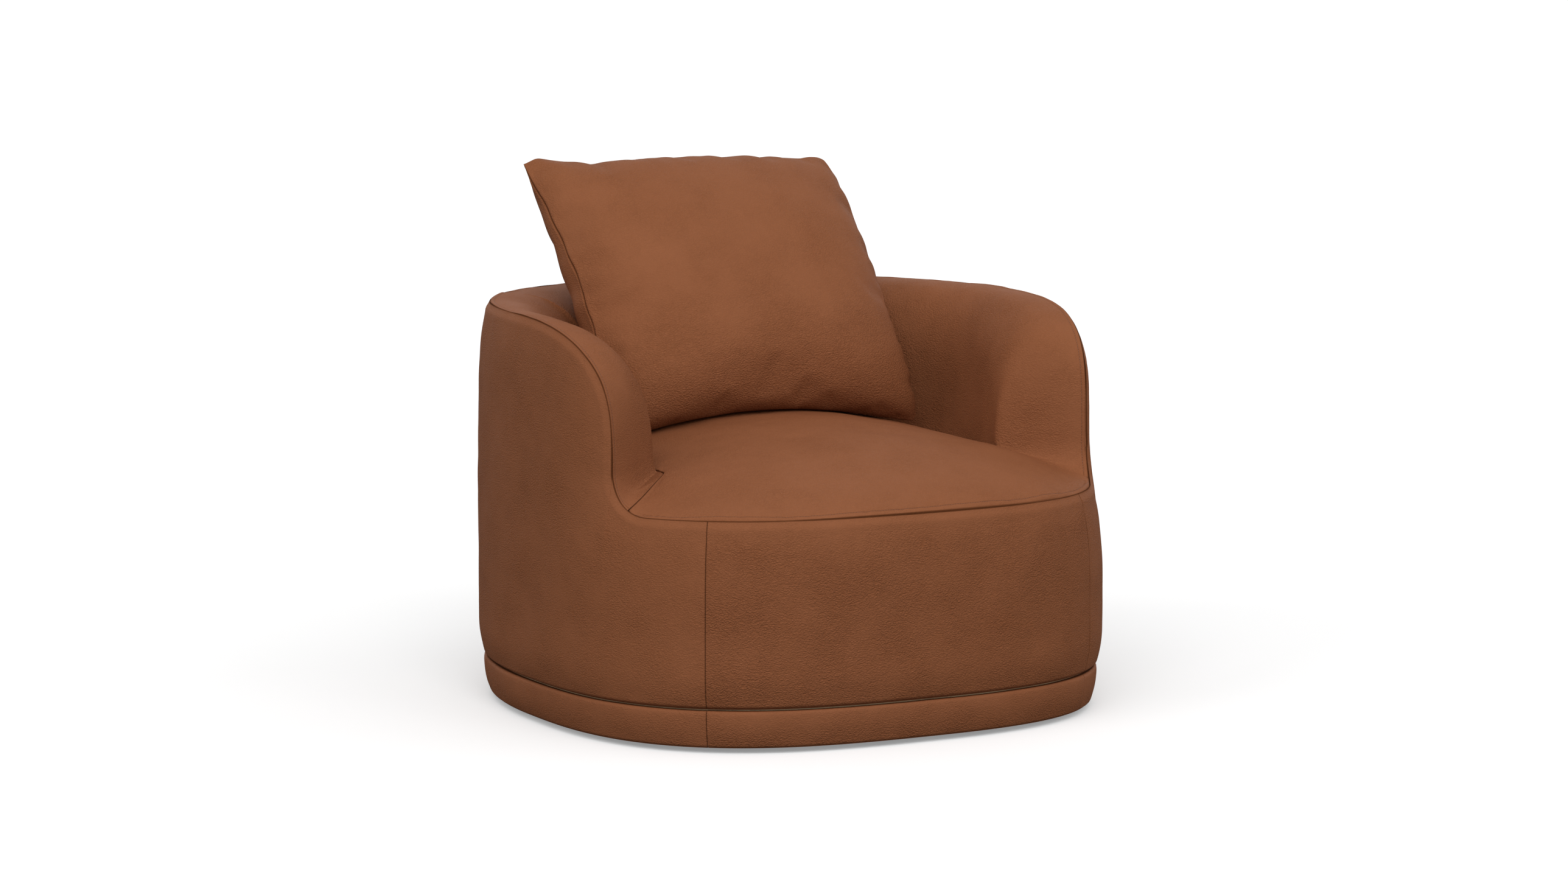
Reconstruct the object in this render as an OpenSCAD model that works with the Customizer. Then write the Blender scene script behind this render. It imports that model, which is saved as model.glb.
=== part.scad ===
// Barrel armchair on a ball-bearing swivel, with one loose back pillow.
// Millimetres. The chair faces -Y and stands on z = 0. The origin is on the swivel's axis.

/* [Plan of the body] */
// Width over the arms
body_w = 960; // [900:10:1020]
// Depth from the widest line to the front
front_depth = 472; // [440:4:510]
// Depth from the widest line to the back
back_depth = 528; // [500:4:560]
// Squareness of the front corners
front_square = 2.73; // [2.5:0.01:2.95]
// Squareness of the back
back_square = 2.23; // [2.1:0.01:2.4]
// Width of the front panel between its upright seams
front_panel_w = 690; // [600:10:740]

/* [Heights of the body] */
// Gap under the plinth
floor_gap = 9; // [8:0.5:10]
// Height of the crease between plinth and body
crease_h = 70; // [66:1:72]
// Height of the seam along the front of the seat
seat_seam_h = 361; // [345:1:380]
// Height of the seam round the arms and back
rim_h = 656; // [630:1:690]
// Height of the seat's crown
seat_crown_h = 470; // [450:1:490]
// Fall of the seat from its crown to the arms
crown_fall = 53; // [35:1:60]

/* [Arms and back] */
// Where the arm's top starts to curve down, behind the axis
arm_curve_y = 112; // [80:1:140]
// Length of that curve
arm_curve_run = 386; // [360:1:400]
// Height at which the arm's front is upright
arm_elbow_h = 426; // [415:1:440]
// How full the curve is
arm_curve_full = 3.57; // [3:0.01:4]
// Length of the small curve into the front seam
arm_foot_run = 62; // [50:1:70]
// Thickness of the arms at the seat
arm_t = 120; // [112:1:130]
// Thickness of the back at the seat
back_t = 196; // [180:1:200]
// Height of the rounded inner top edge
edge_h = 109; // [90:1:120]
// Rise of the rim above its seam
rim_rise = 4; // [2:0.5:6]

/* [Covers] */
// Thickness of the leather
leather_t = 2; // [1.6:0.1:2.2]
// Lean of the outside at its top seam
top_lean = 8; // [6:0.5:9]
// Roll of the outside into its top seam
top_roll = 14; // [10:0.5:15]
// Tuck of the outside into the crease
crease_tuck = 10; // [6:0.5:11]
// Running gap between soft layers
soft_gap = 0.4; // [0.3:0.05:0.6]

/* [Frame] */
// Thickness of the bent side and back shells
shell_t = 10; // [8:1:12]
// Thickness of the posts
post_t = 26; // [22:1:28]
// Width of the posts
post_w = 60; // [50:1:70]
// Thickness of the plywood boards
board_t = 20; // [18:0.5:20.5]
// Thickness of the seat deck
deck_t = 12; // [10:1:15]
// Height of the top of the seat deck
deck_h = 270; // [262:1:276]
// Width of the seat deck beside the spring opening
deck_side = 210; // [200:5:230]
// Width of the seat deck in front of the spring opening
deck_front = 160; // [150:5:175]
// Room between the back's foot and the spring opening, at the outer springs
deck_back = 30; // [26:1:40]
// Height of the seat rails
rail_h = 90; // [70:5:110]
// Thickness of the seat rails
rail_t = 22; // [18:1:26]
// Number of sinuous springs
spring_count = 5; // [4:1:6]
// Radius of the spring wire
wire_r = 1.9; // [1.7:0.1:2.1]

/* [Swivel] */
// Diameter of the base disc
base_d = 460; // [420:5:520]
// Thickness of the base disc
base_t = 22; // [20:1:23]
// Height of the glides
glide_h = 6; // [6:0.5:7]
// Side of the square swivel plates
plate_w = 200; // [180:5:220]
// Thickness of the swivel plates
plate_t = 2.5; // [2:0.25:3]
// Radius of the ball track
track_r = 72; // [66:1:76]
// Radius of the bearing balls
ball_r = 5; // [4.5:0.25:5]
// Number of bearing balls
ball_count = 16; // [12:1:18]
// Radius of the king pin
pin_r = 8; // [7:0.5:9]

/* [Pillow] */
// Width across the pillow's corners
pillow_w = 572; // [540:4:590]
// Thickness in front of its seam
pillow_front = 92; // [70:1:100]
// Thickness behind its seam
pillow_rear = 150; // [110:1:154]
// How far its sides draw in between the corners
pillow_draw_share = 0.05; // [0.02:0.01:0.08]

/* [Hidden] */
half_w = body_w / 2;
widest_y = (front_depth - back_depth) / 2;
front_y = widest_y - front_depth;
back_y = widest_y + back_depth;
joint_gap = 0.3;
leather_back = leather_t + 3 * soft_gap;
// Lean, roll and tuck of the outside
lean_start_h = 190;
lean_power = 2.2;
roll_h = 30;
tuck_start_h = 128;
top_in = top_lean + top_roll;
// Rounded top of the pads
crest_w = 40;
crest_step = 7;
crest_share = 0.7;
least_edge_h = 4;
edge_steps = 5;
inner_lean = 12;
inner_lean_h = 130;
seat_lap_h = 3;
seat_tuck_h = 18;
// Plinth
plinth_inset = 9;
plinth_full_h = 50;
plinth_top_roll = 2;
plinth_foot_roll = 7;
crease_gap = 2;
plinth_line = 20;
plinth_band_t = 12;
// Crown of the seat
crown_half_w = half_w - 155;
crown_from_back = 478;
crown_y = back_y - crown_from_back;
crown_back_run = 365;
rise_power = 2.6;
rise_round_power = 0.75;
back_fall_share = 0.12;
// Lines of the frame, counted in from the plan
pad_line = 16.4;
chord_room = 2.4;
shell_line = pad_line + chord_room;
post_line = shell_line + shell_t + joint_gap;
core_line = post_line + post_t + joint_gap;
core_drop = 45;
shell_top = rim_h - core_drop - joint_gap;
// Heights of the swivel
base_top = glide_h + base_t;
race_h = 5.5;
race_w = 22;
race_gap = 5;
race_z = base_top + plate_t + race_h;
ball_z = race_z + race_gap / 2;
upper_z = race_z + race_gap + race_h;
board_z = upper_z + plate_t;
frame_z = board_z + board_t;
frame_top = frame_z + board_t;
// Seat springs and what lies on them
wire_lift = wire_r + 1;
spring_z = deck_h + wire_lift;
clip_h = 2 * wire_r + 2.2;
clip_lift = 0.02;
pad_z = deck_h + clip_h + joint_gap;
pad_t = 6;
foam_z = pad_z + pad_t + joint_gap;
spring_margin = 75;
clip_w = 12;
well_w = body_w - 2 * deck_side;
spring_edge = well_w / 2 - spring_margin + clip_w / 2;
well_front_y = front_y + deck_front;
// The opening is cut to a whole millimetre
well_back_y = round(back_foot_y(spring_edge) - deck_back);
well_l = well_back_y - well_front_y;
// Pillow
pillow_clear = 1.4;
insert_gap = 0.4;
// Half the angle of the back between its two upright seams
back_half_angle = 46;
leather = [0.50, 0.31, 0.21];
foam_colour = [0.93, 0.88, 0.70];
ply_colour = [0.80, 0.66, 0.45];
steel_colour = [0.62, 0.63, 0.65];
$fn = 64;

// Point of the plan at an angle counted from the back's middle, with +X at 90
function plan(t) = let (s = sin(t), c = cos(t), e = c >= 0 ? back_square : front_square)
    [half_w * sign(s) * pow(abs(s), 2 / e),
     widest_y + (c >= 0 ? back_depth : -front_depth) * pow(abs(c), 2 / e)];
// Angle of the plan at a distance in front of or behind the widest line, on the -X side
function plan_angle(y) = let (d = y - widest_y)
    d >= 0 ? -acos(pow(d / back_depth, back_square / 2))
           : -180 + acos(pow(-d / front_depth, front_square / 2));
// Unit vector from a point of the plan straight inwards
function inward(p) = let (d = p.y - widest_y, e = d >= 0 ? back_square : front_square,
        g = [sign(p.x) * pow(abs(p.x) / half_w, e - 1) / half_w,
             d >= 0 ? pow(d / back_depth, e - 1) / back_depth
                    : -pow(-d / front_depth, e - 1) / front_depth])
    -g / norm(g);
function inset(p, t) = p + inward(p) * t;
// Where the foot of the back meets the seat, at a distance from the middle
function back_foot_y(x) = widest_y + (back_depth - back_t)
    * pow(1 - pow(x / (half_w - arm_t), back_square), 1 / back_square);
function at_height(p, z) = [p.x, p.y, z];
function ring_of_plan(t, from = -180, to = 180, steps = 72) =
    [for (i = [0:steps]) inset(plan(from + (to - from) * i / steps), t)];

// Side view of the arm's seam: one full curve, then a small one into the front seam
function arc_column(a) = [plan(plan_angle(arm_curve_y - arm_curve_run * pow(sin(a), 2 / arm_curve_full))),
    arm_elbow_h + (rim_h - arm_elbow_h) * pow(cos(a), 2 / arm_curve_full)];
function foot_column(b) = [plan(plan_angle(arm_curve_y - arm_curve_run - arm_foot_run * (1 - cos(b)))),
    seat_seam_h + (arm_elbow_h - seat_seam_h) * (1 - sin(b))];
mitre_foot_angle = 59;
arc_start_angle = plan_angle(arm_curve_y);
front_seam_angle = -180 + asin(pow(front_panel_w / 2 / half_w, front_square / 2));
foot_end_angle = plan_angle(arm_curve_y - arm_curve_run - arm_foot_run);
function between(a, b, f) = a + (b - a) * f;
function flat_column(t, z) = [plan(t), z];
back_steps = 6;
half_back_columns = [for (i = [0:back_steps]) flat_column(-back_half_angle * i / back_steps, rim_h)];
pad_seam_angle = 0.06;
back_columns = [for (i = [back_steps:-1:-back_steps])
    flat_column((back_half_angle - pad_seam_angle) * i / back_steps, rim_h)];
arc_turns = [3, 9, 17, 27, 38, 49, 60, 70, 78, 84, 88, 90];
rim_steps = 4;
arm_columns = concat(
    [for (i = [0:rim_steps]) flat_column(between(-back_half_angle, arc_start_angle, i / rim_steps), rim_h)],
    [for (a = arc_turns) arc_column(a)],
    [for (b = [20, 40, mitre_foot_angle]) foot_column(b)]);
side_front_columns = concat([foot_column(75)],
    [for (i = [0:3]) flat_column(between(foot_end_angle, front_seam_angle, i / 3), seat_seam_h)]);
outside_columns = concat(half_back_columns,
    [for (i = [1:len(arm_columns) - 1]) arm_columns[i]], side_front_columns);
front_steps = 6;
front_columns = [for (i = [-front_steps:front_steps])
    flat_column(180 - (180 + front_seam_angle) * i / front_steps, seat_seam_h)];

// Surface of the seat
function front_edge_y(x) = widest_y - (front_depth - top_in)
    * pow(max(0, 1 - pow(min(abs(x) / (half_w - top_in), 1), front_square)), 1 / front_square);
function crown_z(x) = seat_crown_h - crown_fall * pow(x / crown_half_w, 2);
function seat_rise(u) = u >= 1 ? 1 : pow(1 - pow(1 - max(u, 0), rise_power), rise_round_power);
function seat_z(x, y) = let (e = front_edge_y(x), u = (y - e) / (crown_y - e),
        back_fall = y > crown_y ? back_fall_share * pow((y - crown_y) / crown_back_run, 2) : 0)
    seat_seam_h + (crown_z(x) - seat_seam_h) * (seat_rise(u) - back_fall);

// Thickness of the wall at the seat, and how far the outside lies within the plan
function wall_t(p) = let (k = max(0, (p.y - widest_y) / back_depth))
    arm_t + (back_t - arm_t) * k * k * (3 - 2 * k);
function outside_in(z, top) =
    (z > lean_start_h ? top_lean * pow((z - lean_start_h) / (top - lean_start_h), lean_power) : 0)
    + top_roll * exp((z - top) / roll_h)
    + (z < tuck_start_h ? crease_tuck * pow((tuck_start_h - z) / (tuck_start_h - crease_h), 2) : 0);
function plinth_off(z) = z > plinth_full_h
    ? plinth_inset + plinth_top_roll * pow((z - plinth_full_h) / (crease_h - crease_gap - plinth_full_h), 2)
    : plinth_inset + plinth_foot_roll * pow((plinth_full_h - z) / (plinth_full_h - floor_gap), 2);

// Section of the arm or back pad, as [distance in from the plan, height], from the outer seam
// over the rounded top to below the seat
function pad_section(c) = let (p = c[0], top = c[1], w = wall_t(p), q = inset(p, w),
        seat = seat_z(q.x, q.y), h = min(edge_h, max(top + rim_rise - seat, least_edge_h)),
        low = top + rim_rise - h, wt = w - inner_lean * max(0, low - seat) / inner_lean_h)
    concat([[top_in, top], [top_in + crest_step, top + rim_rise * crest_share]],
        [for (i = [0:edge_steps]) let (a = 90 * i / edge_steps)
            [crest_w + (wt - crest_w) * sin(a), low + h * cos(a)]],
        [[w, min(seat + seat_lap_h, low - 1)], [w, min(seat, low) - seat_tuck_h]]);
// The same points, kept on or above the seat in front of the arm
function seated(p, s) = [for (i = [0:len(s) - 1]) let (q = inset(p, s[i][0]))
    i >= len(s) - 2 ? s[i] : [s[i][0], max(s[i][1], seat_z(q.x, q.y) + joint_gap)]];
function turn(v) = [v.y, -v.x] / norm(v);
function thinner(s, d) = [for (i = [0:len(s) - 1])
    s[i] + turn(s[min(i + 1, len(s) - 1)] - s[max(i - 1, 0)]) * d];
function placed(p, s) = [for (v = s) at_height(inset(p, v[0]), v[1])];
function backwards(s) = [for (i = [len(s) - 1:-1:0]) s[i]];
function tail(s) = [for (i = [1:len(s) - 1]) s[i]];

// Solid between rings of points that each hold an outer row and the matching inner row
module ribbon(rings) {
    n = len(rings[0]);
    m = len(rings);
    h = n / 2;
    polyhedron([for (r = rings) each r], concat(
        [for (j = [0:m - 2], i = [0:n - 1], k = [0, 1]) let (a = j * n + i, b = j * n + (i + 1) % n)
            k == 0 ? [a, b, b + n] : [a, b + n, a + n]],
        [for (i = [0:h - 2], k = [0, 1]) k == 0 ? [i, n - 1 - i, i + 1] : [i + 1, n - 1 - i, n - 2 - i]],
        [for (i = [0:h - 2], k = [0, 1]) let (o = (m - 1) * n)
            k == 0 ? [o + i, o + i + 1, o + n - 1 - i] : [o + i + 1, o + n - 2 - i, o + n - 1 - i]]));
}

module pad_cover(columns) {
    ribbon([for (c = columns) let (s = seated(c[0], pad_section(c)))
        concat(placed(c[0], s), backwards(placed(c[0], thinner(s, leather_t))))]);
}
// Foam of an arm or of the back: it wraps over the top rail and down to the seat deck
module pad_foam(columns) {
    ribbon([for (c = columns) let (p = c[0],
            s = thinner(tail(seated(p, pad_section(c))), leather_back),
            foot = [s[len(s) - 1][0], deck_h + joint_gap],
            outer = concat([for (i = [0:len(s) - 2]) s[i]], [foot]),
            top = c[1] - core_drop, over = 4, last = len(outer) - 1,
            core = [for (i = [0:last]) i <= over
                ? [between(outer[0][0], core_line, i / over), top]
                : [core_line, between(top, foot[1], (i - over) / (last - over))]])
        concat(placed(p, outer), backwards(placed(p, core)))]);
}
foam_columns = [for (i = [0:len(arm_columns) - 4]) arm_columns[i]];
crease_rows = [1, 14, 34];
roll_rows = [52, 26, 11];
function panel_heights(top) = concat([for (h = crease_rows) crease_h + h],
    [for (f = [0, 0.4, 0.7]) between(tuck_start_h, top, f)],
    [for (h = roll_rows) top - h], [top - leather_t - soft_gap]);
module outside_skin(columns) {
    ribbon([for (c = columns) let (z = panel_heights(c[1]))
        concat([for (h = z) at_height(inset(c[0], outside_in(h, c[1])), h)],
            [for (i = [len(z) - 1:-1:0])
                at_height(inset(c[0], outside_in(z[i], c[1]) + leather_t), z[i])])]);
}
padding_drop = 30;
module outside_foam(columns) {
    ribbon([for (c = columns) let (top = c[1],
            z = [frame_top + joint_gap, tuck_start_h, between(tuck_start_h, top, 0.7), top - padding_drop])
        concat([for (h = z) at_height(inset(c[0],
                outside_in(h, top) + leather_t + soft_gap), h)],
            [for (i = [3:-1:0]) at_height(inset(c[0], pad_line), z[i])])]);
}
// Layer of the plinth: extra is how far it lies behind the outside, and back the line of its inner
// face, or 0 where that face follows the outside
module plinth_skin(columns, from, to, extra, back) {
    rows = 5;
    ribbon([for (c = columns) let (z = [for (i = [0:rows]) between(from, to, i / rows)])
        concat([for (h = z) at_height(inset(c[0], plinth_off(h) + extra), h)],
            [for (i = [rows:-1:0]) at_height(inset(c[0],
                back > 0 ? back : plinth_off(z[i]) + leather_t), z[i])])]);
}
plinth_steps = 22;
plinth_side_columns = [for (i = [plinth_steps:-1:-plinth_steps])
    flat_column(-front_seam_angle * i / plinth_steps, rim_h)];

// Base that stands on the floor
glide_count = 6;
glide_margin = 26;
glide_r = 17;
glide_foot_r = 15;
glide_foot_h = 2;
screw_r = 2.2;
screw_head_r = 4.4;
screw_head_h = 2.2;
screw_l = 14;
screw_gap = 0.05;
head_gap = 0.4;
plate_corner_r = 12;
corner_in = 14;
pin_room = 12;
pin_head_h = 7;
washer_w = 8;
washer_t = 2;
nut_h = 8;
pin_fit = 0.02;
pin_play = 0.08;
cut = 1;
module at_glides() {
    for (i = [0:glide_count - 1]) rotate([0, 0, (i + 0.5) * 360 / glide_count])
        translate([base_d / 2 - glide_margin, 0, 0]) children();
}
module at_plate_corners() {
    for (x = [-1, 1], y = [-1, 1]) translate([x, y, 0] * (plate_w / 2 - corner_in)) children();
}
module base_disc() color(ply_colour) difference() {
    translate([0, 0, glide_h]) cylinder(d = base_d, h = base_t);
    translate([0, 0, glide_h - cut]) cylinder(r = pin_r + pin_room, h = base_t + 2 * cut);
    at_glides() translate([0, 0, glide_h - cut]) cylinder(r = screw_r, h = screw_l + cut);
    at_plate_corners() translate([0, 0, base_top - screw_l - cut])
        cylinder(r = screw_r, h = screw_l + 2 * cut);
}
// A glide hides its screw's head in a deep counterbore
glide_seat_h = 3.5;
module floor_glides() color([0.12, 0.12, 0.13]) at_glides() difference() {
    union() {
        cylinder(r1 = glide_foot_r, r2 = glide_r, h = glide_foot_h);
        translate([0, 0, glide_foot_h]) cylinder(r = glide_r, h = glide_h - glide_foot_h);
    }
    translate([0, 0, glide_seat_h - cut]) cylinder(r = screw_r + 2 * screw_gap, h = glide_h);
    translate([0, 0, -cut]) cylinder(r = screw_head_r + head_gap, h = glide_seat_h + cut);
}
module glide_screws() color(steel_colour) at_glides() {
    translate([0, 0, glide_seat_h - screw_head_h]) cylinder(r = screw_head_r, h = screw_head_h);
    translate([0, 0, glide_seat_h]) cylinder(r = screw_r - screw_gap, h = screw_l);
}
module plate_blank() {
    linear_extrude(plate_t) hull() for (x = [-1, 1], y = [-1, 1])
        translate([x, y] * (plate_w / 2 - plate_corner_r)) circle(r = plate_corner_r, $fn = 32);
}
module race(z0) {
    translate([0, 0, z0]) difference() {
        cylinder(r = track_r + race_w / 2, h = race_h);
        translate([0, 0, -cut]) cylinder(r = track_r - race_w / 2, h = race_h + 2 * cut);
    }
}
module track_groove() {
    rotate_extrude($fn = 96) translate([track_r, ball_z]) circle(r = ball_r + 0.1, $fn = 48);
}
module lower_swivel_plate() color(steel_colour) difference() {
    union() {
        translate([0, 0, base_top]) plate_blank();
        race(base_top + plate_t);
    }
    track_groove();
    translate([0, 0, base_top - cut]) cylinder(r = pin_r + pin_fit, h = plate_t + 2 * cut);
    at_plate_corners() translate([0, 0, base_top - cut])
        cylinder(r = screw_r + joint_gap, h = plate_t + 2 * cut);
}
module lower_plate_screws() color(steel_colour) at_plate_corners() {
    translate([0, 0, base_top + plate_t]) cylinder(r = screw_head_r, h = screw_head_h);
    translate([0, 0, base_top - screw_l]) cylinder(r = screw_r - screw_gap, h = screw_l + plate_t);
}
washer_z = board_z + joint_gap;
module king_pin() color([0.45, 0.46, 0.48]) {
    translate([0, 0, base_top - pin_head_h]) cylinder(r = pin_r * 1.7, h = pin_head_h, $fn = 6);
    translate([0, 0, base_top]) cylinder(r = pin_r, h = washer_z + washer_t + nut_h + 2 - base_top);
}
module pin_washer() color(steel_colour) translate([0, 0, washer_z]) difference() {
    cylinder(r = pin_r + washer_w, h = washer_t);
    translate([0, 0, -cut]) cylinder(r = pin_r + pin_fit, h = washer_t + 2 * cut);
}
module pin_nut() color(steel_colour) translate([0, 0, washer_z + washer_t]) difference() {
    cylinder(r = pin_r * 1.6, h = nut_h, $fn = 6);
    translate([0, 0, -cut]) cylinder(r = pin_r + pin_fit, h = nut_h + 2 * cut);
}

// Ball cage and balls, which orbit at half the chair's speed
cage_h = 2;
cage_margin = 1;
ball_gap = 0.15;
module at_balls() {
    for (i = [0:ball_count - 1]) rotate([0, 0, i * 360 / ball_count])
        translate([track_r, 0, ball_z]) children();
}
module ball_cage() color([0.85, 0.80, 0.55]) difference() {
    translate([0, 0, ball_z - cage_h / 2]) cylinder(r = track_r + race_w / 2 - cage_margin, h = cage_h);
    translate([0, 0, ball_z - cage_h]) cylinder(r = track_r - race_w / 2 + cage_margin, h = cage_h * 2);
    at_balls() cylinder(r = ball_r + ball_gap, h = cage_h * 2, center = true);
}
module bearing_balls() color(steel_colour) at_balls() sphere(r = ball_r);

// Upper half of the swivel, under the chair
module upper_swivel_plate() color(steel_colour) difference() {
    union() {
        translate([0, 0, upper_z]) plate_blank();
        race(upper_z - race_h);
    }
    track_groove();
    translate([0, 0, upper_z - cut]) cylinder(r = pin_r + pin_play, h = plate_t + 2 * cut);
    at_plate_corners() translate([0, 0, upper_z - cut])
        cylinder(r = screw_r + joint_gap, h = plate_t + 2 * cut);
}
module upper_plate_screws() color(steel_colour) at_plate_corners() {
    translate([0, 0, upper_z - screw_head_h]) cylinder(r = screw_head_r, h = screw_head_h);
    translate([0, 0, upper_z]) cylinder(r = screw_r - screw_gap, h = plate_t + screw_l);
}
board_half_w = plate_w * 0.8;
module swivel_board() color(ply_colour) difference() {
    intersection() {
        translate([0, 0, board_z]) linear_extrude(board_t)
            polygon(ring_of_plan(plinth_line + plinth_band_t + joint_gap));
        translate([-board_half_w, -body_w, board_z - cut])
            cube([2 * board_half_w, 2 * body_w, board_t + 2 * cut]);
    }
    translate([0, 0, board_z - cut]) cylinder(r = pin_r + washer_w + 3, h = board_t + 2 * cut);
    at_plate_corners() translate([0, 0, board_z - cut]) cylinder(r = screw_r, h = screw_l + 2 * cut);
}

// Plinth
module plan_band(outer, inner, z0, h) {
    translate([0, 0, z0]) linear_extrude(h) difference() {
        polygon(ring_of_plan(outer));
        polygon(ring_of_plan(inner));
    }
}
plinth_bottom = floor_gap + leather_t + 1;
plinth_half_angle = 179.9;
padding_steps = 36;
padding_low = 3;
padding_high = 2;
dust_room = 20;
dust_t = 1;
module plinth_band() color(ply_colour)
    plan_band(plinth_line, plinth_line + plinth_band_t, plinth_bottom, frame_z - plinth_bottom);
module plinth_padding() color(foam_colour) plinth_skin(
    [for (i = [padding_steps:-1:-padding_steps]) flat_column(plinth_half_angle * i / padding_steps, rim_h)],
    plinth_bottom + padding_low, frame_z - padding_high, leather_back, plinth_line - joint_gap);
module plinth_side_cover() color(leather)
    plinth_skin(plinth_side_columns, floor_gap, crease_h - crease_rows[0] / 2, 0, 0);
module plinth_front_cover() color(leather)
    plinth_skin(front_columns, floor_gap, crease_h - crease_rows[0] / 2, 0, 0);
module dust_cover() color([0.08, 0.08, 0.09]) translate([0, 0, plinth_bottom - dust_t - joint_gap])
    linear_extrude(dust_t) difference() {
        polygon(ring_of_plan(plinth_line));
        circle(r = base_d / 2 + dust_room, $fn = 96);
    }

// Wooden frame
bottom_frame_w = 72;
module bottom_frame() color(ply_colour)
    plan_band(shell_line, shell_line + bottom_frame_w, frame_z, board_t);
// One post stands at an angle of the plan, with room for the bend of the shell behind it
post_room = 2.6;
core_room = 1;
arm_post_drop = 96;
module post(t, z0, z1) {
    p = plan(t);
    v = inward(p);
    translate(at_height(inset(p, post_line + post_room), z0)) rotate([0, 0, atan2(v.y, v.x)])
        translate([0, -post_w / 2, 0]) cube([post_t - post_room - core_room, post_w, z1 - z0]);
}
module lower_posts() color(ply_colour) for (t = [28, 62, 92, 116, 158], side = [-1, 1])
    post(t * side, frame_top, deck_h - deck_t);
module upper_posts() color(ply_colour) for (side = [-1, 1]) {
    for (t = [20, 52, 84]) post(t * side, deck_h, shell_top - board_t);
    post(104 * side, deck_h, rim_h - core_drop - arm_post_drop);
}
module seat_deck() color(ply_colour) translate([0, 0, deck_h - deck_t]) linear_extrude(deck_t)
    difference() {
        polygon(ring_of_plan(shell_line + shell_t + joint_gap));
        translate([-well_w / 2, well_front_y]) square([well_w, well_l]);
    }
rail_z = deck_h - deck_t - rail_h;
module cross_rail(y) {
    translate([-well_w / 2 - rail_t, y, rail_z]) cube([well_w + 2 * rail_t, rail_t, rail_h]);
}
module front_rail() color(ply_colour) cross_rail(well_front_y - rail_t);
module back_rail() color(ply_colour) cross_rail(well_back_y);
module side_rails() color(ply_colour) for (x = [-well_w / 2 - rail_t, well_w / 2])
    translate([x, well_front_y, rail_z]) cube([rail_t, well_l, rail_h]);
rail_lap = 30;
top_rail_angle = -plan_angle(arm_curve_y - rail_lap);
module top_rail() color(ply_colour) translate([0, 0, shell_top - board_t])
    linear_extrude(board_t) polygon(concat(ring_of_plan(post_line, -top_rail_angle, top_rail_angle),
        backwards(ring_of_plan(core_line - chord_room, -top_rail_angle, top_rail_angle))));
// Bent plywood between two angles of the plan, from the bottom frame up to a height
module bent_shell(z1, from, to) {
    translate([0, 0, frame_top]) linear_extrude(z1 - frame_top)
        polygon(concat(ring_of_plan(shell_line, from, to, shell_steps),
            backwards(ring_of_plan(shell_line + shell_t, from, to, shell_steps))));
}
shell_steps = 40;
shell_joint_angle = 0.1;
shell_setback = 14;
module side_shell(side) mirror([side > 0 ? 1 : 0, 0, 0]) intersection() {
    bent_shell(shell_top, foot_end_angle, -back_half_angle - shell_joint_angle);
    translate([-body_w, 0, 0]) rotate([90, 0, 90]) linear_extrude(body_w)
        polygon(concat([[body_w, frame_top - cut], [body_w, shell_top]],
            [for (a = [0, 9, 17, 27, 38, 49, 60, 70, 78, 84, 90]) let (c = arc_column(a))
                [c[0].y + shell_setback, c[1] - core_drop - joint_gap]],
            [[arc_column(90)[0].y + shell_setback, deck_h], [-body_w, deck_h],
             [-body_w, frame_top - cut]]));
}
module side_shell_left() color(ply_colour) side_shell(-1);
module side_shell_right() color(ply_colour) side_shell(1);
module back_shell() color(ply_colour) bent_shell(shell_top, -back_half_angle, back_half_angle);
module front_former() color(ply_colour)
    bent_shell(deck_h, shell_joint_angle - foot_end_angle, 360 + foot_end_angle - shell_joint_angle);

// Sinuous springs run from the front rail to the back rail
spring_turns = 10;
clip_reach = 10;
spring_reach = well_l + 2 * clip_reach;
spring_bend = spring_reach / (2 * spring_turns);
spring_leg = 16;
module wire_bend(up) {
    translate([up * spring_leg / 2, 0, 0]) rotate([0, 0, up > 0 ? -90 : 90])
        rotate_extrude(angle = 180, $fn = 32) translate([spring_bend, 0]) circle(r = wire_r, $fn = 16);
}
module sinuous_spring() {
    for (i = [0:spring_turns - 1]) translate([0, 2 * spring_bend * i + spring_bend, 0])
        wire_bend(i % 2 == 0 ? 1 : -1);
    for (i = [0:spring_turns]) translate([0, 2 * spring_bend * i, 0]) rotate([0, 90, 0])
        cylinder(r = wire_r, h = spring_leg + 0.02, center = true, $fn = 16);
}
function spring_x(i) = (2 * i / (spring_count - 1) - 1) * (well_w / 2 - spring_margin);
module seat_springs() color(steel_colour) for (i = [0:spring_count - 1])
    translate([spring_x(i), well_front_y - clip_reach, spring_z]) sinuous_spring();
clip_front = 5;
clip_back = 9;
clip_slot = 1;
module spring_clip() difference() {
    translate([-clip_w / 2, -clip_front, 0]) cube([clip_w, clip_front + clip_back, clip_h]);
    translate([0, 0, wire_lift - clip_lift]) rotate([0, 90, 0])
        cylinder(r = wire_r + ball_gap, h = clip_w + 2 * cut, center = true);
    translate([-clip_w / 2 - cut, -clip_front - cut, wire_lift - clip_slot / 2])
        cube([clip_w + 2 * cut, clip_front + cut, clip_slot]);
}
module spring_clips() color([0.2, 0.2, 0.2]) for (i = [0:spring_count - 1], back = [0, 1])
    translate([spring_x(i), well_front_y - clip_reach + back * spring_reach, deck_h + clip_lift])
        rotate([0, 0, 180 * (1 - back)]) spring_clip();

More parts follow.
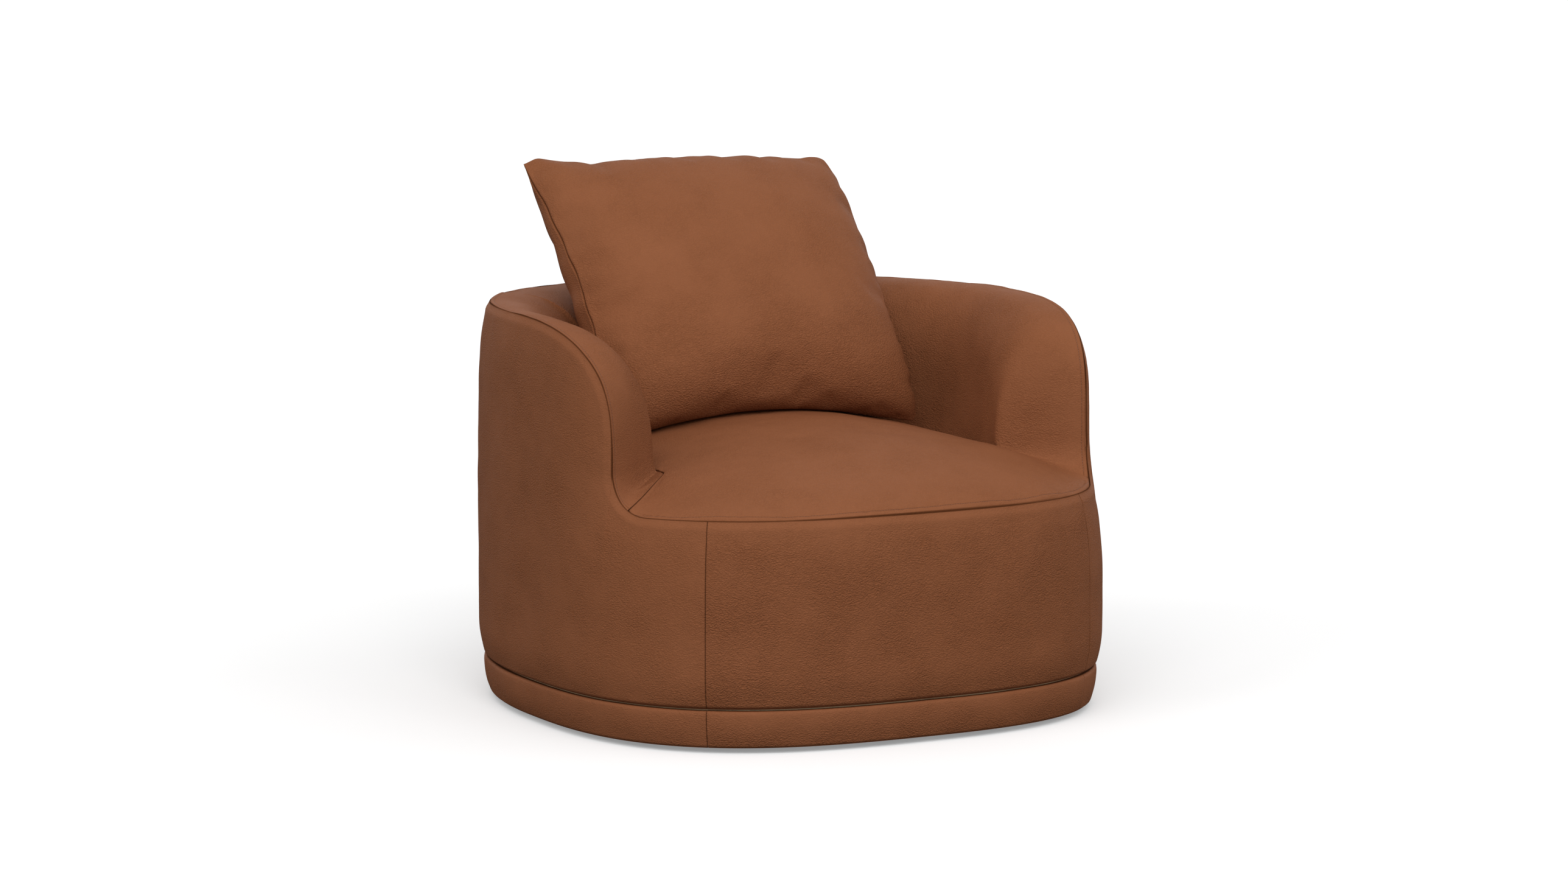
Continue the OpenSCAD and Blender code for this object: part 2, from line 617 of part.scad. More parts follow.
// Seat: rings of the same outline shrink towards its middle
seat_side = 1.5;
seat_mid_run = 350;
seat_mid = [0, front_y + seat_mid_run];
seat_seam_lap = 0.5;
foam_edge = 5;
felt_edge = 6;
mitre_column = foot_column(mitre_foot_angle);
mitre_along = let (v = inward(mitre_column[0])) [-v.y, v.x];
mitre_front = mitre_along.y < 0 ? mitre_along : -mitre_along;
mitre_points = [for (f = [0, 0.33, 0.66, 1]) inset(mitre_column[0],
    top_in + (arm_t + seat_side - top_in) * f) + mitre_front * 2.7 * seat_side];
inner_columns = concat([arc_column(86)], [for (i = [10:-1:0]) arm_columns[i]],
    [for (i = [back_steps - 1:-1:0]) half_back_columns[i]]);
function mirrored(s) = [for (v = s) [-v.x, v.y]];
mitre_angle = plan_angle(mitre_column[0].y);
front_steps_half = 8;
half_front = [for (i = [0:front_steps_half])
    inset(plan(between(mitre_angle - 0.6, -180, i / front_steps_half)), top_in - seat_seam_lap)];
half_seat = concat(backwards(half_front), mitre_points,
    [for (c = inner_columns) inset(c[0], wall_t(c[0]) + seat_side)]);
function drop_last(s) = [for (i = [0:len(s) - 2]) s[i]];
seat_outline = backwards(concat(half_seat, tail(drop_last(backwards(mirrored(half_seat))))));
seat_steps = [0.3, 0.55, 0.74, 0.87, 0.95, 1];
function drawn_in(edge) = [for (p = seat_outline)
    seat_mid + (p - seat_mid) * (1 - edge / norm(p - seat_mid))];
function seat_point(q, drop) = [q.x, q.y, seat_z(q.x, q.y) - drop];
function seat_rings(outline, drop) = [for (f = seat_steps, p = outline)
    seat_point(seat_mid + (p - seat_mid) * f, drop)];
// Faces of the rings and of the fan in their middle, whose hub is point m
function ring_faces(o, m, flip) = let (n = len(seat_outline)) [for (f = concat(
        [for (j = [0:len(seat_steps) - 2], i = [0:n - 1], k = [0, 1])
            let (a = o + j * n + i, b = o + j * n + (i + 1) % n) k == 0 ? [a, b, b + n] : [a, b + n, a + n]],
        [for (i = [0:n - 1]) [m, o + (i + 1) % n, o + i]])) flip ? [f[0], f[2], f[1]] : f];
module seat_cover() color(leather) {
    n = len(seat_outline);
    top = seat_rings(seat_outline, 0);
    under = seat_rings(seat_outline, leather_t);
    o = len(top);
    polyhedron(concat(top, under, [seat_point(seat_mid, 0), seat_point(seat_mid, leather_t)]), concat(
        ring_faces(0, 2 * o, false), ring_faces(o, 2 * o + 1, true),
        [for (i = [0:n - 1], k = [0, 1]) let (a = o - n + i, b = o - n + (i + 1) % n)
            k == 0 ? [a, b, b + o] : [a, b + o, a + o]]));
}
module seat_foam() color(foam_colour) {
    n = len(seat_outline);
    drop = leather_t + 4 * soft_gap;
    outline = drawn_in(foam_edge);
    top = seat_rings(outline, drop);
    o = len(top);
    polyhedron(concat(top, [for (p = outline) at_height(p, foam_z)],
        [seat_point(seat_mid, drop), at_height(seat_mid, foam_z)]), concat(
        ring_faces(0, o + n, false),
        [for (i = [0:n - 1]) [o + n + 1, o + i, o + (i + 1) % n]],
        [for (i = [0:n - 1], k = [0, 1]) let (a = o - n + i, b = o - n + (i + 1) % n)
            k == 0 ? [a, b, b + n] : [a, b + n, a + n]]));
}
module spring_pad() color([0.55, 0.55, 0.52]) translate([0, 0, pad_z]) linear_extrude(pad_t)
    polygon(drawn_in(felt_edge));

// Arm, back and outside layers
module arm_cover_left() color(leather) pad_cover(arm_columns);
module arm_cover_right() color(leather) mirror([1, 0, 0]) pad_cover(arm_columns);
module back_cover() color(leather) pad_cover(back_columns);
module arm_foam_left() color(foam_colour) pad_foam(foam_columns);
module arm_foam_right() color(foam_colour) mirror([1, 0, 0]) pad_foam(foam_columns);
module back_foam() color(foam_colour) pad_foam(back_columns);
module outside_padding_left() color(foam_colour) outside_foam(outside_columns);
module outside_padding_right() color(foam_colour) mirror([1, 0, 0]) outside_foam(outside_columns);
module front_padding() color(foam_colour) outside_foam(front_columns);
module outside_panel_left() color(leather) outside_skin(outside_columns);
module outside_panel_right() color(leather) mirror([1, 0, 0]) outside_skin(outside_columns);
module front_panel() color(leather) outside_skin(front_columns);

// Pillow: its seam lies on a curve that stands on the seat and leans back over the rim
foot_from_back = 433;
low_from_back = 423;
high_from_back = 325;
top_from_back = 128;
foot_below_crown = 34;
low_above_crown = 90;
high_above_rim = 44;
top_above_rim = 206;
pillow_line = [[back_y - foot_from_back, seat_crown_h - foot_below_crown],
    [back_y - low_from_back, seat_crown_h + low_above_crown],
    [back_y - high_from_back, rim_h + high_above_rim],
    [back_y - top_from_back, rim_h + top_above_rim]];
seam_power = 2.6;
full_power = 0.6;
foot_draw_share = 0.14;
top_draw_share = 0.03;
function bezier(q, f) = let (g = 1 - f) g * g * g * q[0] + 3 * g * g * f * q[1]
    + 3 * g * f * f * q[2] + f * f * f * q[3];
function bezier_way(q, f) = let (g = 1 - f, d = g * g * (q[1] - q[0]) + 2 * g * f * (q[2] - q[1])
    + f * f * (q[3] - q[2])) d / norm(d);
function pillow_full(u, v) = pow((1 - pow(abs(u), seam_power)) * (1 - pow(abs(v), seam_power)), full_power);
// Point of the pillow at u across and v up, both from -1 to 1, h in front of its seam surface
function pillow_point(u, v, h) = let (
        draw = v < 0 ? foot_draw_share : top_draw_share,
        f = 0.5 + 0.5 * v * (1 - draw * (1 - u * u)),
        c = bezier(pillow_line, f), w = bezier_way(pillow_line, f),
        x = u * pillow_w / 2 * (1 - pillow_draw_share * (1 - v * v)),
        y = c.x - w.y * h, z = c.y + w.x * h)
    [x, y, z];
function on_seat(p, clear) = [p.x, p.y, max(p.z, seat_z(p.x, p.y) + clear)];
cell_count = 12;
last = cell_count;
side_count = cell_count + 1;
function spread(i) = sin(90 * (2 * i / cell_count - 1));
function grid(side, size, add, clear) = [for (j = [0:last], i = [0:last])
    let (u = spread(i), v = spread(j), h = side * (size * pillow_full(u, v) + add))
        on_seat(pillow_point(u, v, h), clear)];
function cell_faces(o, flip) = [for (j = [0:last - 1], i = [0:last - 1], k = [0, 1])
    let (r = side_count, a = o + j * r + i,
        f = k == 0 ? [a, a + 1, a + r + 1] : [a, a + r + 1, a + r]) flip ? f : [f[0], f[2], f[1]]];
rim_path = let (r = side_count) concat([for (i = [0:last - 1]) i],
    [for (j = [0:last - 1]) j * r + last], [for (i = [last:-1:1]) last * r + i],
    [for (j = [last:-1:1]) j * r]);
seam_half = 0.8;
module pillow_panel(side, size) {
    outer = grid(side, size, seam_half + leather_t, pillow_clear);
    inner = grid(side, size, seam_half, pillow_clear + leather_t);
    o = len(outer);
    n = len(rim_path);
    polyhedron(concat(outer, inner), concat(cell_faces(0, side < 0), cell_faces(o, side > 0),
        [for (i = [0:n - 1], k = [0, 1]) let (a = rim_path[i], b = rim_path[(i + 1) % n],
            f = k == 0 ? [a, b, b + o] : [a, b + o, a + o]) side < 0 ? [f[0], f[2], f[1]] : f]));
}
module pillow_front_panel() color(leather) pillow_panel(1, pillow_front);
module pillow_rear_panel() color(leather) pillow_panel(-1, pillow_rear);
insert_share = 0.955;
function insert_grid(side, size) = [for (j = [0:last], i = [0:last]) let (u = spread(i), v = spread(j),
        rim = i == 0 || j == 0 || i == last || j == last,
        h = side * ((size - insert_gap) * pillow_full(u, v) + (rim ? 0.2 : 0.5)))
    on_seat(pillow_point(u * insert_share, v * insert_share, h), pillow_clear + leather_t + zip_w + 1)];
module pillow_insert() color([0.95, 0.94, 0.92]) {
    front = insert_grid(1, pillow_front);
    rear = insert_grid(-1, pillow_rear);
    o = len(front);
    n = len(rim_path);
    polyhedron(concat(front, rear), concat(cell_faces(0, false), cell_faces(o, true),
        [for (i = [0:n - 1], k = [0, 1]) let (a = rim_path[i], b = rim_path[(i + 1) % n])
            k == 0 ? [a, b, b + o] : [a, b + o, a + o]]));
}
zip_w = 3;
zip_t = 0.5;
zip_share = 0.7;
zip_steps = 10;
module pillow_zip() color([0.25, 0.16, 0.11]) ribbon([for (i = [zip_steps:-1:0])
    let (u = zip_share * (2 * i / zip_steps - 1), low = on_seat(pillow_point(u, -1, 0), pillow_clear),
        w = [0, 0, zip_w], t = [0, zip_t, 0]) [low + t, low + t + w, low - t + w, low - t]]);

base_disc();
floor_glides();
glide_screws();
lower_swivel_plate();
lower_plate_screws();
king_pin();
pin_washer();
pin_nut();
ball_cage();
bearing_balls();
upper_swivel_plate();
upper_plate_screws();
swivel_board();
plinth_band();
plinth_padding();
plinth_side_cover();
plinth_front_cover();
dust_cover();
bottom_frame();
lower_posts();
seat_deck();
front_rail();
back_rail();
side_rails();
upper_posts();
top_rail();
side_shell_left();
side_shell_right();
back_shell();
front_former();
seat_springs();
spring_clips();
spring_pad();
seat_foam();
seat_cover();
arm_foam_left();
arm_foam_right();
back_foam();
arm_cover_left();
arm_cover_right();
back_cover();
outside_padding_left();
outside_padding_right();
front_padding();
outside_panel_left();
outside_panel_right();
front_panel();
pillow_front_panel();
pillow_rear_panel();
pillow_insert();
pillow_zip();
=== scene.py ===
import math
from functools import cache

import bmesh
import bpy
import numpy as np
from bpy.props import FloatProperty, FloatVectorProperty, IntProperty, PointerProperty
from mathutils import Matrix, Vector


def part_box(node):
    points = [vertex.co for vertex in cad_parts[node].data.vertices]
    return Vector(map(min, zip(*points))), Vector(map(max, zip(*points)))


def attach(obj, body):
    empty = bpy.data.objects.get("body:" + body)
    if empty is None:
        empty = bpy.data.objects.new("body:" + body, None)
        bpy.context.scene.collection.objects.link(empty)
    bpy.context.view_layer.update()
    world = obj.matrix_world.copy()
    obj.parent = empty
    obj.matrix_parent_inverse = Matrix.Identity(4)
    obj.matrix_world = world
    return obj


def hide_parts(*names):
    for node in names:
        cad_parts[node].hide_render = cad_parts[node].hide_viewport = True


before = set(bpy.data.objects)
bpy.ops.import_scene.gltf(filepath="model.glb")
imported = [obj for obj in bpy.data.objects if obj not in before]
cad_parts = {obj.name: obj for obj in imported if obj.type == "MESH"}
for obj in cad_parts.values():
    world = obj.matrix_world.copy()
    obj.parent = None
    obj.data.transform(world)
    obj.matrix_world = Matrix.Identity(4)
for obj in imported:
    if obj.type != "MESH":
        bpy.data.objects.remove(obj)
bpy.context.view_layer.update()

bl_info = {
    "name": "Barrel swivel armchair",
    "version": (1, 0, 0),
    "blender": (4, 5, 0),
    "location": "3D View > Sidebar > Armchair",
    "description": "Leather, seams, pillow and hidden finishes of a barrel armchair on a swivel base",
    "category": "Object",
}

WIDEST_Y = -0.028
BODY = "chair"
PILLOW = "pillow"


def metres(name, about, default):
    return FloatProperty(name=name, description=about, default=default, unit="LENGTH")


def tint(name, about, default):
    return FloatVectorProperty(name=name, description=about, default=default, subtype="COLOR")


class ChairSizes(bpy.types.PropertyGroup):
    """Sizes of the upholstery, in metres"""
    half_w: metres("Half width", "Half the width over the arms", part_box("outside_panel_right")[1].x)
    front_depth: metres(
        "Front depth", "From the widest line to the front", WIDEST_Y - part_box("front_panel")[0].y)
    back_depth: metres(
        "Back depth", "From the widest line to the back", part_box("outside_panel_left")[1].y - WIDEST_Y)
    front_square: FloatProperty(
        name="Front squareness", description="Exponent of the front outline", default=2.73)
    back_square: FloatProperty(
        name="Back squareness", description="Exponent of the back outline", default=2.23)
    rim_h: metres("Rim", "Height of the seam round the arms", 0.649)
    seam_h: metres("Seat seam", "Height of the front seam", 0.361)
    crown_h: metres("Crown", "Height of the seat's crown", 0.463)
    crown_fall: metres("Crown fall", "Fall to the arms", 0.053)
    crease_h: metres("Crease", "Height of the plinth's crease", 0.070)
    floor_gap: metres("Floor gap", "Gap under the plinth", 0.009)
    arm_t: metres("Arm thickness", "At the seat", 0.120)
    back_t: metres("Back thickness", "At the seat", 0.196)
    edge_h: metres("Rounded edge", "Height of the rounded top", 0.109)
    front_panel_w: metres("Front panel", "Width of the front panel", 0.690)
    mesh_step: metres("Mesh step", "Spacing of the leather's mesh", 0.004)
    stitch_pitch: metres("Stitch pitch", "Pitch of the topstitch", 0.0046)
    stitch_in: metres("Stitch line", "Distance from seam to stitch", 0.0075)
    pillow_w: metres("Pillow width", "Across the corners", 0.572)
    pillow_front: metres("Pillow front", "Thickness before its seam", 0.092)
    pillow_rear: metres("Pillow rear", "Thickness behind its seam", 0.148)
    pillow_cells: IntProperty(name="Pillow cells", description="Mesh cells across a panel", default=112)


class ChairColours(bpy.types.PropertyGroup):
    """Colours of the finishes"""
    leather: tint("Leather", "Cognac leather", (0.272, 0.101, 0.045))
    # The leather's darker tone: it colours the real random mottling, and it is also painted shade in the
    # grain's creases and, at half strength, in the seams
    leather_dark_and_shade: tint("Leather in folds", "Leather in folds and pores", (0.130, 0.038, 0.011))
    thread: tint("Thread", "Topstitching thread", (0.235, 0.092, 0.046))
    birch: tint("Birch", "Plywood and frame timber", (0.60, 0.42, 0.24))
    backdrop: tint("Backdrop", "Floor and backdrop", (0.86, 0.86, 0.86))


def sizes():
    return bpy.context.scene.armchair_sizes


def colours():
    return bpy.context.scene.armchair_colours


# Lines of the body, in metres and degrees
TOP_LEAN = 0.005
TOP_ROLL = 0.017
TOP_IN = TOP_LEAN + TOP_ROLL
ROLL_REACH = 0.045
SHELL_ROOM = 0.0162
SHELL_SETBACK = 0.014
LIMIT_FILLET = 0.005
LEAN_START_H = 0.190
LEAN_POWER = 2.2
TUCK_START_H = 0.128
CREASE_TUCK = 0.010
ARM_CURVE_Y = 0.112
ARM_CURVE_RUN = 0.386
ARM_ELBOW_H = 0.426
ARM_CURVE_FULL = 3.40
ARM_FOOT_RUN = 0.062
MITRE_TURN = 59
MITRE_SWING = 13.5
MITRE_SWING_RUN = 0.13
MITRE_TIP_R = 0.010
FRONT_SPLAY = 0.040
SPLAY_FULL_Y = -0.20
SPLAY_FADE = 0.36
TIP_PLACE = (0.317, -0.218)
TIP_LIFT = 0.004
TIP_REACH = 0.055
SIDE_END = 46
CREST_W = 0.040
CREST_STEP = 0.003
ROUND_POWER = 0.9
ROUND_ROWS = 47
WALL_ROWS = 26
WALL_TUCK = 0.018
LEAST_WALL_H = 0.016
LEAST_EDGE_H = 0.004
INNER_LEAN = (0.11, 0.09)
INNER_LEAN_Y = -0.15
INNER_LEAN_RUN = 0.35
NOSE_RUN = 0.070
NOSE_SMOOTHING = 150
NOSE_START = 0.05
NOSE_START_FADE = 0.05
NOSE_END = 0.255
NOSE_END_FADE = 0.06
NOSE_FROM_MITRE = 0.03
NOSE_MITRE_FADE = 0.07
GROUND_GAP = 0.0015
GROUND_FILLET = 0.010
FLANGE_RUN = 0.060
FAN_RUN = 0.12
CORE_LINE = 0.0555
CORE_DROP = 0.038
CORE_EDGE_IN = 0.004
PAD_BACK = 0.0164
DECK_H = 0.2705
SEAT_CROWN_Y = 0.022
SEAT_HALF_W = 0.325
SEAT_BACK_RUN = 0.365
SEAT_BACK_FALL = 0.12
FOOT_LIFT_REACH = 0.03
SEAM_GAP = 0.0004
SEAM_R = 0.0012
UPRIGHT_R = 0.0007
UPRIGHT_GAP = 0.035
SEAM_WALL = 0.0085
CREASE_R = 0.0072
CREASE_GAP = 0.0002
PLINTH_R = 0.0064
PLINTH_LOW_R = 0.0045
PLINTH_BACK = 0.0195
PLINTH_IN = 0.009
PLINTH_FULL_H = 0.058
PLINTH_ROLL_IN = 0.002
PLINTH_ROLL_H = 0.012
PLINTH_UNDERCUT = 0.010
BAND_STEP = 1.15
BAND_CALM = 0.02
BAND_EDGE_IN = 0.0011
BAND_LEAST_T = 0.003
MITRED_STEP = 0.75
STITCH_FROM_END = 0.006
SHARP_TURN = 60

# Distance from a pad's seam as its masks count it: per radian round the top, and to the top's end
ROUND_COUNT = 0.1
ROUND_END = 0.157

# Relief and stitches of the leather, in metres, with the masks of its grain and its seams' painted shadows as
# shares
HOLLOW_WAVE = 0.16
SMALL_HOLLOW_WAVE = 0.055
SMALL_HOLLOW_SHARE = 0.35
PULL_WAVE = 0.020
PULL_REACH = 0.016
PULL_START = 0.004
STITCH_SINK = 0.0006
STITCH_SINK_REACH = 0.0012
STITCH_SWELL = 0.0004
STITCH_SWELL_REACH = 0.0020
THREAD_W = 0.00042
THREAD_H = 0.00036
THREAD_LIFT = 0.00005
THREAD_FILL = 0.41
SEAM_SHADOW_REACH = 0.0014
STITCH_SHADOW = 0.65
STITCH_SHADOW_REACH = 0.0007
UPRIGHT_SHADOW = 0.5
LEAST_GRAIN = 0.15
PAD_GRAIN = 0.65
PAD_GRAIN_REACH = 0.11
BAND_GRAIN_REACH = 0.05

# Distances of the mesh's rows from a seam: for leather over foam, and for the pillow's knife edge
EDGE_SPACING = np.array([
    0, 0.0002, 0.0006, 0.0012, 0.0021, 0.0034, 0.0051, 0.0066, 0.0075, 0.0084, 0.0102, 0.0130])
KNIFE_SPACING = np.array([
    0, 0.00004, 0.0001, 0.0002, 0.0004, 0.0007, 0.0012, 0.0020, 0.0032, 0.0050, 0.0075, 0.011])


def smooth(x):
    x = np.clip(x, 0, 1)
    return x * x * (3 - 2 * x)


def mix(a, b, share):
    return a + (b - a) * share


def soft_max(a, b, reach):
    """The larger of two heights, with a fillet of that reach where they cross."""
    h = np.clip(0.5 + 0.5 * (a - b) / reach, 0, 1)
    return mix(b, a, h) + reach * h * (1 - h)


def unit(v):
    """Vectors brought to a length of one. A zero vector stays zero."""
    return v / np.maximum(np.linalg.norm(v, axis=-1, keepdims=True), 1e-12)


def run_along(points):
    """Distance of each point along a line of points."""
    return np.concatenate([[0], np.cumsum(np.linalg.norm(np.diff(points, axis=0), axis=1))])


def read_along(at, run, values):
    """Rows of values that are known along a run, read at other distances."""
    return np.stack([np.interp(at, run, column) for column in values.T], -1)


def waves(points, size, seed, count=9):
    """Gentle noise of about that wavelength, mostly between -1 and 1."""
    draw = np.random.default_rng(seed)
    ways = unit(draw.normal(size=(count, points.shape[-1])))
    ways *= (2 * math.pi / size) * draw.uniform(0.6, 1.5, count)[:, None]
    total = np.sin(points @ ways.T + draw.uniform(0, 2 * math.pi, count)).sum(-1)
    return total / math.sqrt(count * 1.3)


def plan(turn):
    """Outline of the body at angles counted from the back's middle, with +X at 90."""
    s = sizes()
    sine, cosine = np.sin(np.radians(turn)), np.cos(np.radians(turn))
    square = np.where(cosine >= 0, s.back_square, s.front_square)
    depth = np.where(cosine >= 0, s.back_depth, -s.front_depth)
    return np.stack([s.half_w * np.sign(sine) * np.abs(sine) ** (2 / square),
                     WIDEST_Y + depth * np.abs(cosine) ** (2 / square)], -1)


def plan_turn(y):
    """Angle of the outline at that y, on the -X side."""
    s = sizes()
    d = np.asarray(y, float) - WIDEST_Y
    back = -np.degrees(np.arccos(np.clip(d / s.back_depth, 0, 1) ** (s.back_square / 2)))
    front = -180 + np.degrees(np.arccos(np.clip(-d / s.front_depth, 0, 1) ** (s.front_square / 2)))
    return np.where(d >= 0, back, front)


def outline_at(y):
    """Distance of that y from the widest line, and the outline's exponent and depth there."""
    s = sizes()
    d = y - WIDEST_Y
    return d, np.where(d >= 0, s.back_square, s.front_square), np.where(d >= 0, s.back_depth, s.front_depth)


def inward(p):
    """Unit vectors from points straight in from the outline."""
    half_w = sizes().half_w
    d, square, depth = outline_at(p[..., 1])
    slope = np.stack([np.sign(p[..., 0]) * np.abs(p[..., 0] / half_w) ** (square - 1) / half_w,
                      np.sign(d) * np.abs(d / depth) ** (square - 1) / depth], -1)
    return -unit(slope)


def depth_in(p):
    """Distance of points in from the outline, true near it."""
    half_w = sizes().half_w
    d, square, depth = outline_at(p[..., 1])
    across, along = np.abs(p[..., 0] / half_w), np.abs(d / depth)
    level = np.maximum(across ** square + along ** square, 1e-9) ** (1 / square)
    slope = np.hypot(across ** (square - 1) / half_w, along ** (square - 1) / depth)
    return (1 - level) / np.maximum(slope * level ** (1 - square), 1e-6)


def foot_height(y):
    """Height of the seam at the arm's foot, at that y of the outline."""
    s = sizes()
    share = np.clip((ARM_CURVE_Y - ARM_CURVE_RUN - y) / ARM_FOOT_RUN, 0, 1)
    return s.seam_h + (ARM_ELBOW_H - s.seam_h) * (1 - np.sqrt(1 - (1 - share) ** 2))


def seat_height(x, y):
    """Crowned surface of the seat, drawn up to the seam at the arms' feet."""
    s = sizes()
    edge_x = s.half_w - TOP_IN
    front = WIDEST_Y - (s.front_depth - TOP_IN) * np.clip(
        1 - np.clip(np.abs(x) / edge_x, 0, 1) ** s.front_square, 0, 1) ** (1 / s.front_square)
    u = np.clip((y - front) / (SEAT_CROWN_Y - front), 0, 1)
    rise = (1 - (1 - u) ** 2.6) ** 0.75
    fall = SEAT_BACK_FALL * (np.clip(y - SEAT_CROWN_Y, 0, 1) / SEAT_BACK_RUN) ** 2
    crown = s.crown_h - s.crown_fall * (x / SEAT_HALF_W) ** 2
    p = np.stack([x, y], -1)
    depth = depth_in(p)
    seam = foot_height((p - inward(p) * depth[..., None])[..., 1])
    lift = (seam - s.seam_h) * np.exp(-np.clip(depth - TOP_IN, 0, 1) / FOOT_LIFT_REACH)
    from_tip = (np.abs(x) - TIP_PLACE[0]) ** 2 + (y - TIP_PLACE[1]) ** 2
    lift = lift + TIP_LIFT * np.exp(-from_tip / TIP_REACH ** 2)
    return s.seam_h + (crown - s.seam_h) * (rise - fall) + lift


def wall_thickness(p):
    s = sizes()
    return s.arm_t + (s.back_t - s.arm_t) * smooth((p[..., 1] - WIDEST_Y) / s.back_depth)


def graded(length, step, both=True, spacing=EDGE_SPACING):
    """Distances along a run, close together at its start, and at its end too unless both is false."""
    end = length - (spacing if both else spacing[:1])[::-1]
    count = max(2, round((end[0] - spacing[-1]) / step))
    return np.concatenate([spacing[:-1], np.linspace(spacing[-1], end[0], count + 1), end[1:]])


def along_line(turns, tops, step):
    """Columns of the outline spaced along their seam: angles, tops, distances and the whole run."""
    run = run_along(np.column_stack([plan(turns), tops]))
    at = graded(run[-1], step)
    return np.interp(at, run, turns), np.interp(at, run, tops), at, run[-1]


def edge_drop(distance, radius=SEAM_R):
    """How far a skin has rolled in at that distance from its cut edge."""
    d = np.clip(distance, 0, radius)
    return radius - np.sqrt(radius ** 2 - (radius - d) ** 2)


def side_line(last_turn):
    """Dense line of the -X side's top seam, from the back's middle to an angle at the front."""
    s = sizes()
    curve = 90 * np.linspace(0, 1, 500) ** 1.8
    foot = np.linspace(0, 90, 120)
    flat = np.linspace(0, float(plan_turn(ARM_CURVE_Y)), 300)
    arc_y = ARM_CURVE_Y - ARM_CURVE_RUN * np.sin(np.radians(curve)) ** (2 / ARM_CURVE_FULL)
    arc_z = ARM_ELBOW_H + (s.rim_h - ARM_ELBOW_H) * np.cos(np.radians(curve)) ** (2 / ARM_CURVE_FULL)
    foot_y = ARM_CURVE_Y - ARM_CURVE_RUN - ARM_FOOT_RUN * (1 - np.cos(np.radians(foot)))
    foot_z = s.seam_h + (ARM_ELBOW_H - s.seam_h) * (1 - np.sin(np.radians(foot)))
    front = np.linspace(float(plan_turn(foot_y[-1])), -180, 300)
    turns = np.concatenate([flat, plan_turn(arc_y)[1:], plan_turn(foot_y)[1:], front[1:]])
    tops = np.concatenate([0 * flat + s.rim_h, arc_z[1:], foot_z[1:], 0 * front[1:] + s.seam_h])
    kept = turns >= last_turn
    return np.append(turns[kept], last_turn), np.append(tops[kept], np.interp(-last_turn, -turns, tops))


def front_seam_turn():
    """Angle of the front panel's upright seam, on the -X side."""
    s = sizes()
    return -180 + math.degrees(math.asin((s.front_panel_w / 2 / s.half_w) ** (s.front_square / 2)))


def mitre_turn():
    """Angle of the mitre seam's outer end, on the -X side."""
    y = ARM_CURVE_Y - ARM_CURVE_RUN - ARM_FOOT_RUN * (1 - math.cos(math.radians(MITRE_TURN)))
    return float(plan_turn(y))


def normals_of(grid):
    """Unit normals of a grid of points, by central differences."""
    return unit(np.cross(np.gradient(grid, axis=0), np.gradient(grid, axis=1)))


def mesh_of(name, bm):
    """A mesh made from a bmesh, which is freed."""
    mesh = bpy.data.meshes.new(name)
    bm.to_mesh(mesh)
    bm.free()
    return mesh


def add_object(name, data):
    made = bpy.data.objects.new(name, data)
    bpy.context.scene.collection.objects.link(made)
    return made


def new_piece(name, bm, body, slot, material, *nodes):
    """Turns a bmesh into a finished piece that rides on a body and stands for CAD nodes."""
    mesh = mesh_of(name, bm)
    mesh.shade_smooth()
    mesh.set_sharp_from_angle(angle=math.radians(SHARP_TURN))
    piece = add_object(name, mesh)
    mesh.materials.append(material)
    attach(piece, body)
    if nodes:
        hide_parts(*nodes)
    return piece


def grid_bmesh(points, masks):
    """A bmesh grid placed on an array of points, with a float layer for each mask."""
    rows, columns = points.shape[:2]
    bm = bmesh.new()
    bmesh.ops.create_grid(bm, x_segments=columns - 1, y_segments=rows - 1, size=1)
    for vert, place in zip(bm.verts, points.reshape(-1, 3)):
        vert.co = place
    for name, values in masks.items():
        layer = bm.verts.layers.float.new(name)
        for vert, value in zip(bm.verts, np.broadcast_to(values, (rows, columns)).ravel()):
            vert[layer] = value
    return bm


def close_and_turn_out(bm):
    """Welds the joined edges, fills the ends and turns all faces outwards."""
    rim = [v for v in bm.verts if v.is_boundary]
    bmesh.ops.remove_doubles(bm, verts=rim, dist=1e-6)
    open_edges = [e for e in bm.edges if e.is_boundary]
    if open_edges:
        caps = bmesh.ops.holes_fill(bm, edges=open_edges, sides=0)["faces"]
        bmesh.ops.triangulate(bm, faces=caps)
    bmesh.ops.recalc_face_normals(bm, faces=bm.faces[:])


def padded_tube(name, skin, core, masks, nodes, mirrored=False):
    """A padded piece: its skin is a grid of columns, and its core closes each column behind."""
    points = np.concatenate([skin, core, skin[:, :1]], axis=1)
    wide = {}
    for mask, values in masks.items():
        values = np.broadcast_to(values, skin.shape[:2])
        wide[mask] = np.concatenate([values, np.zeros(core.shape[:2]), values[:, :1]], axis=1)
    if mirrored:
        points = points * [-1, 1, 1]
    bm = grid_bmesh(points, wide)
    close_and_turn_out(bm)
    piece = new_piece(name, bm, BODY, "leather", leather(), *nodes)
    return piece


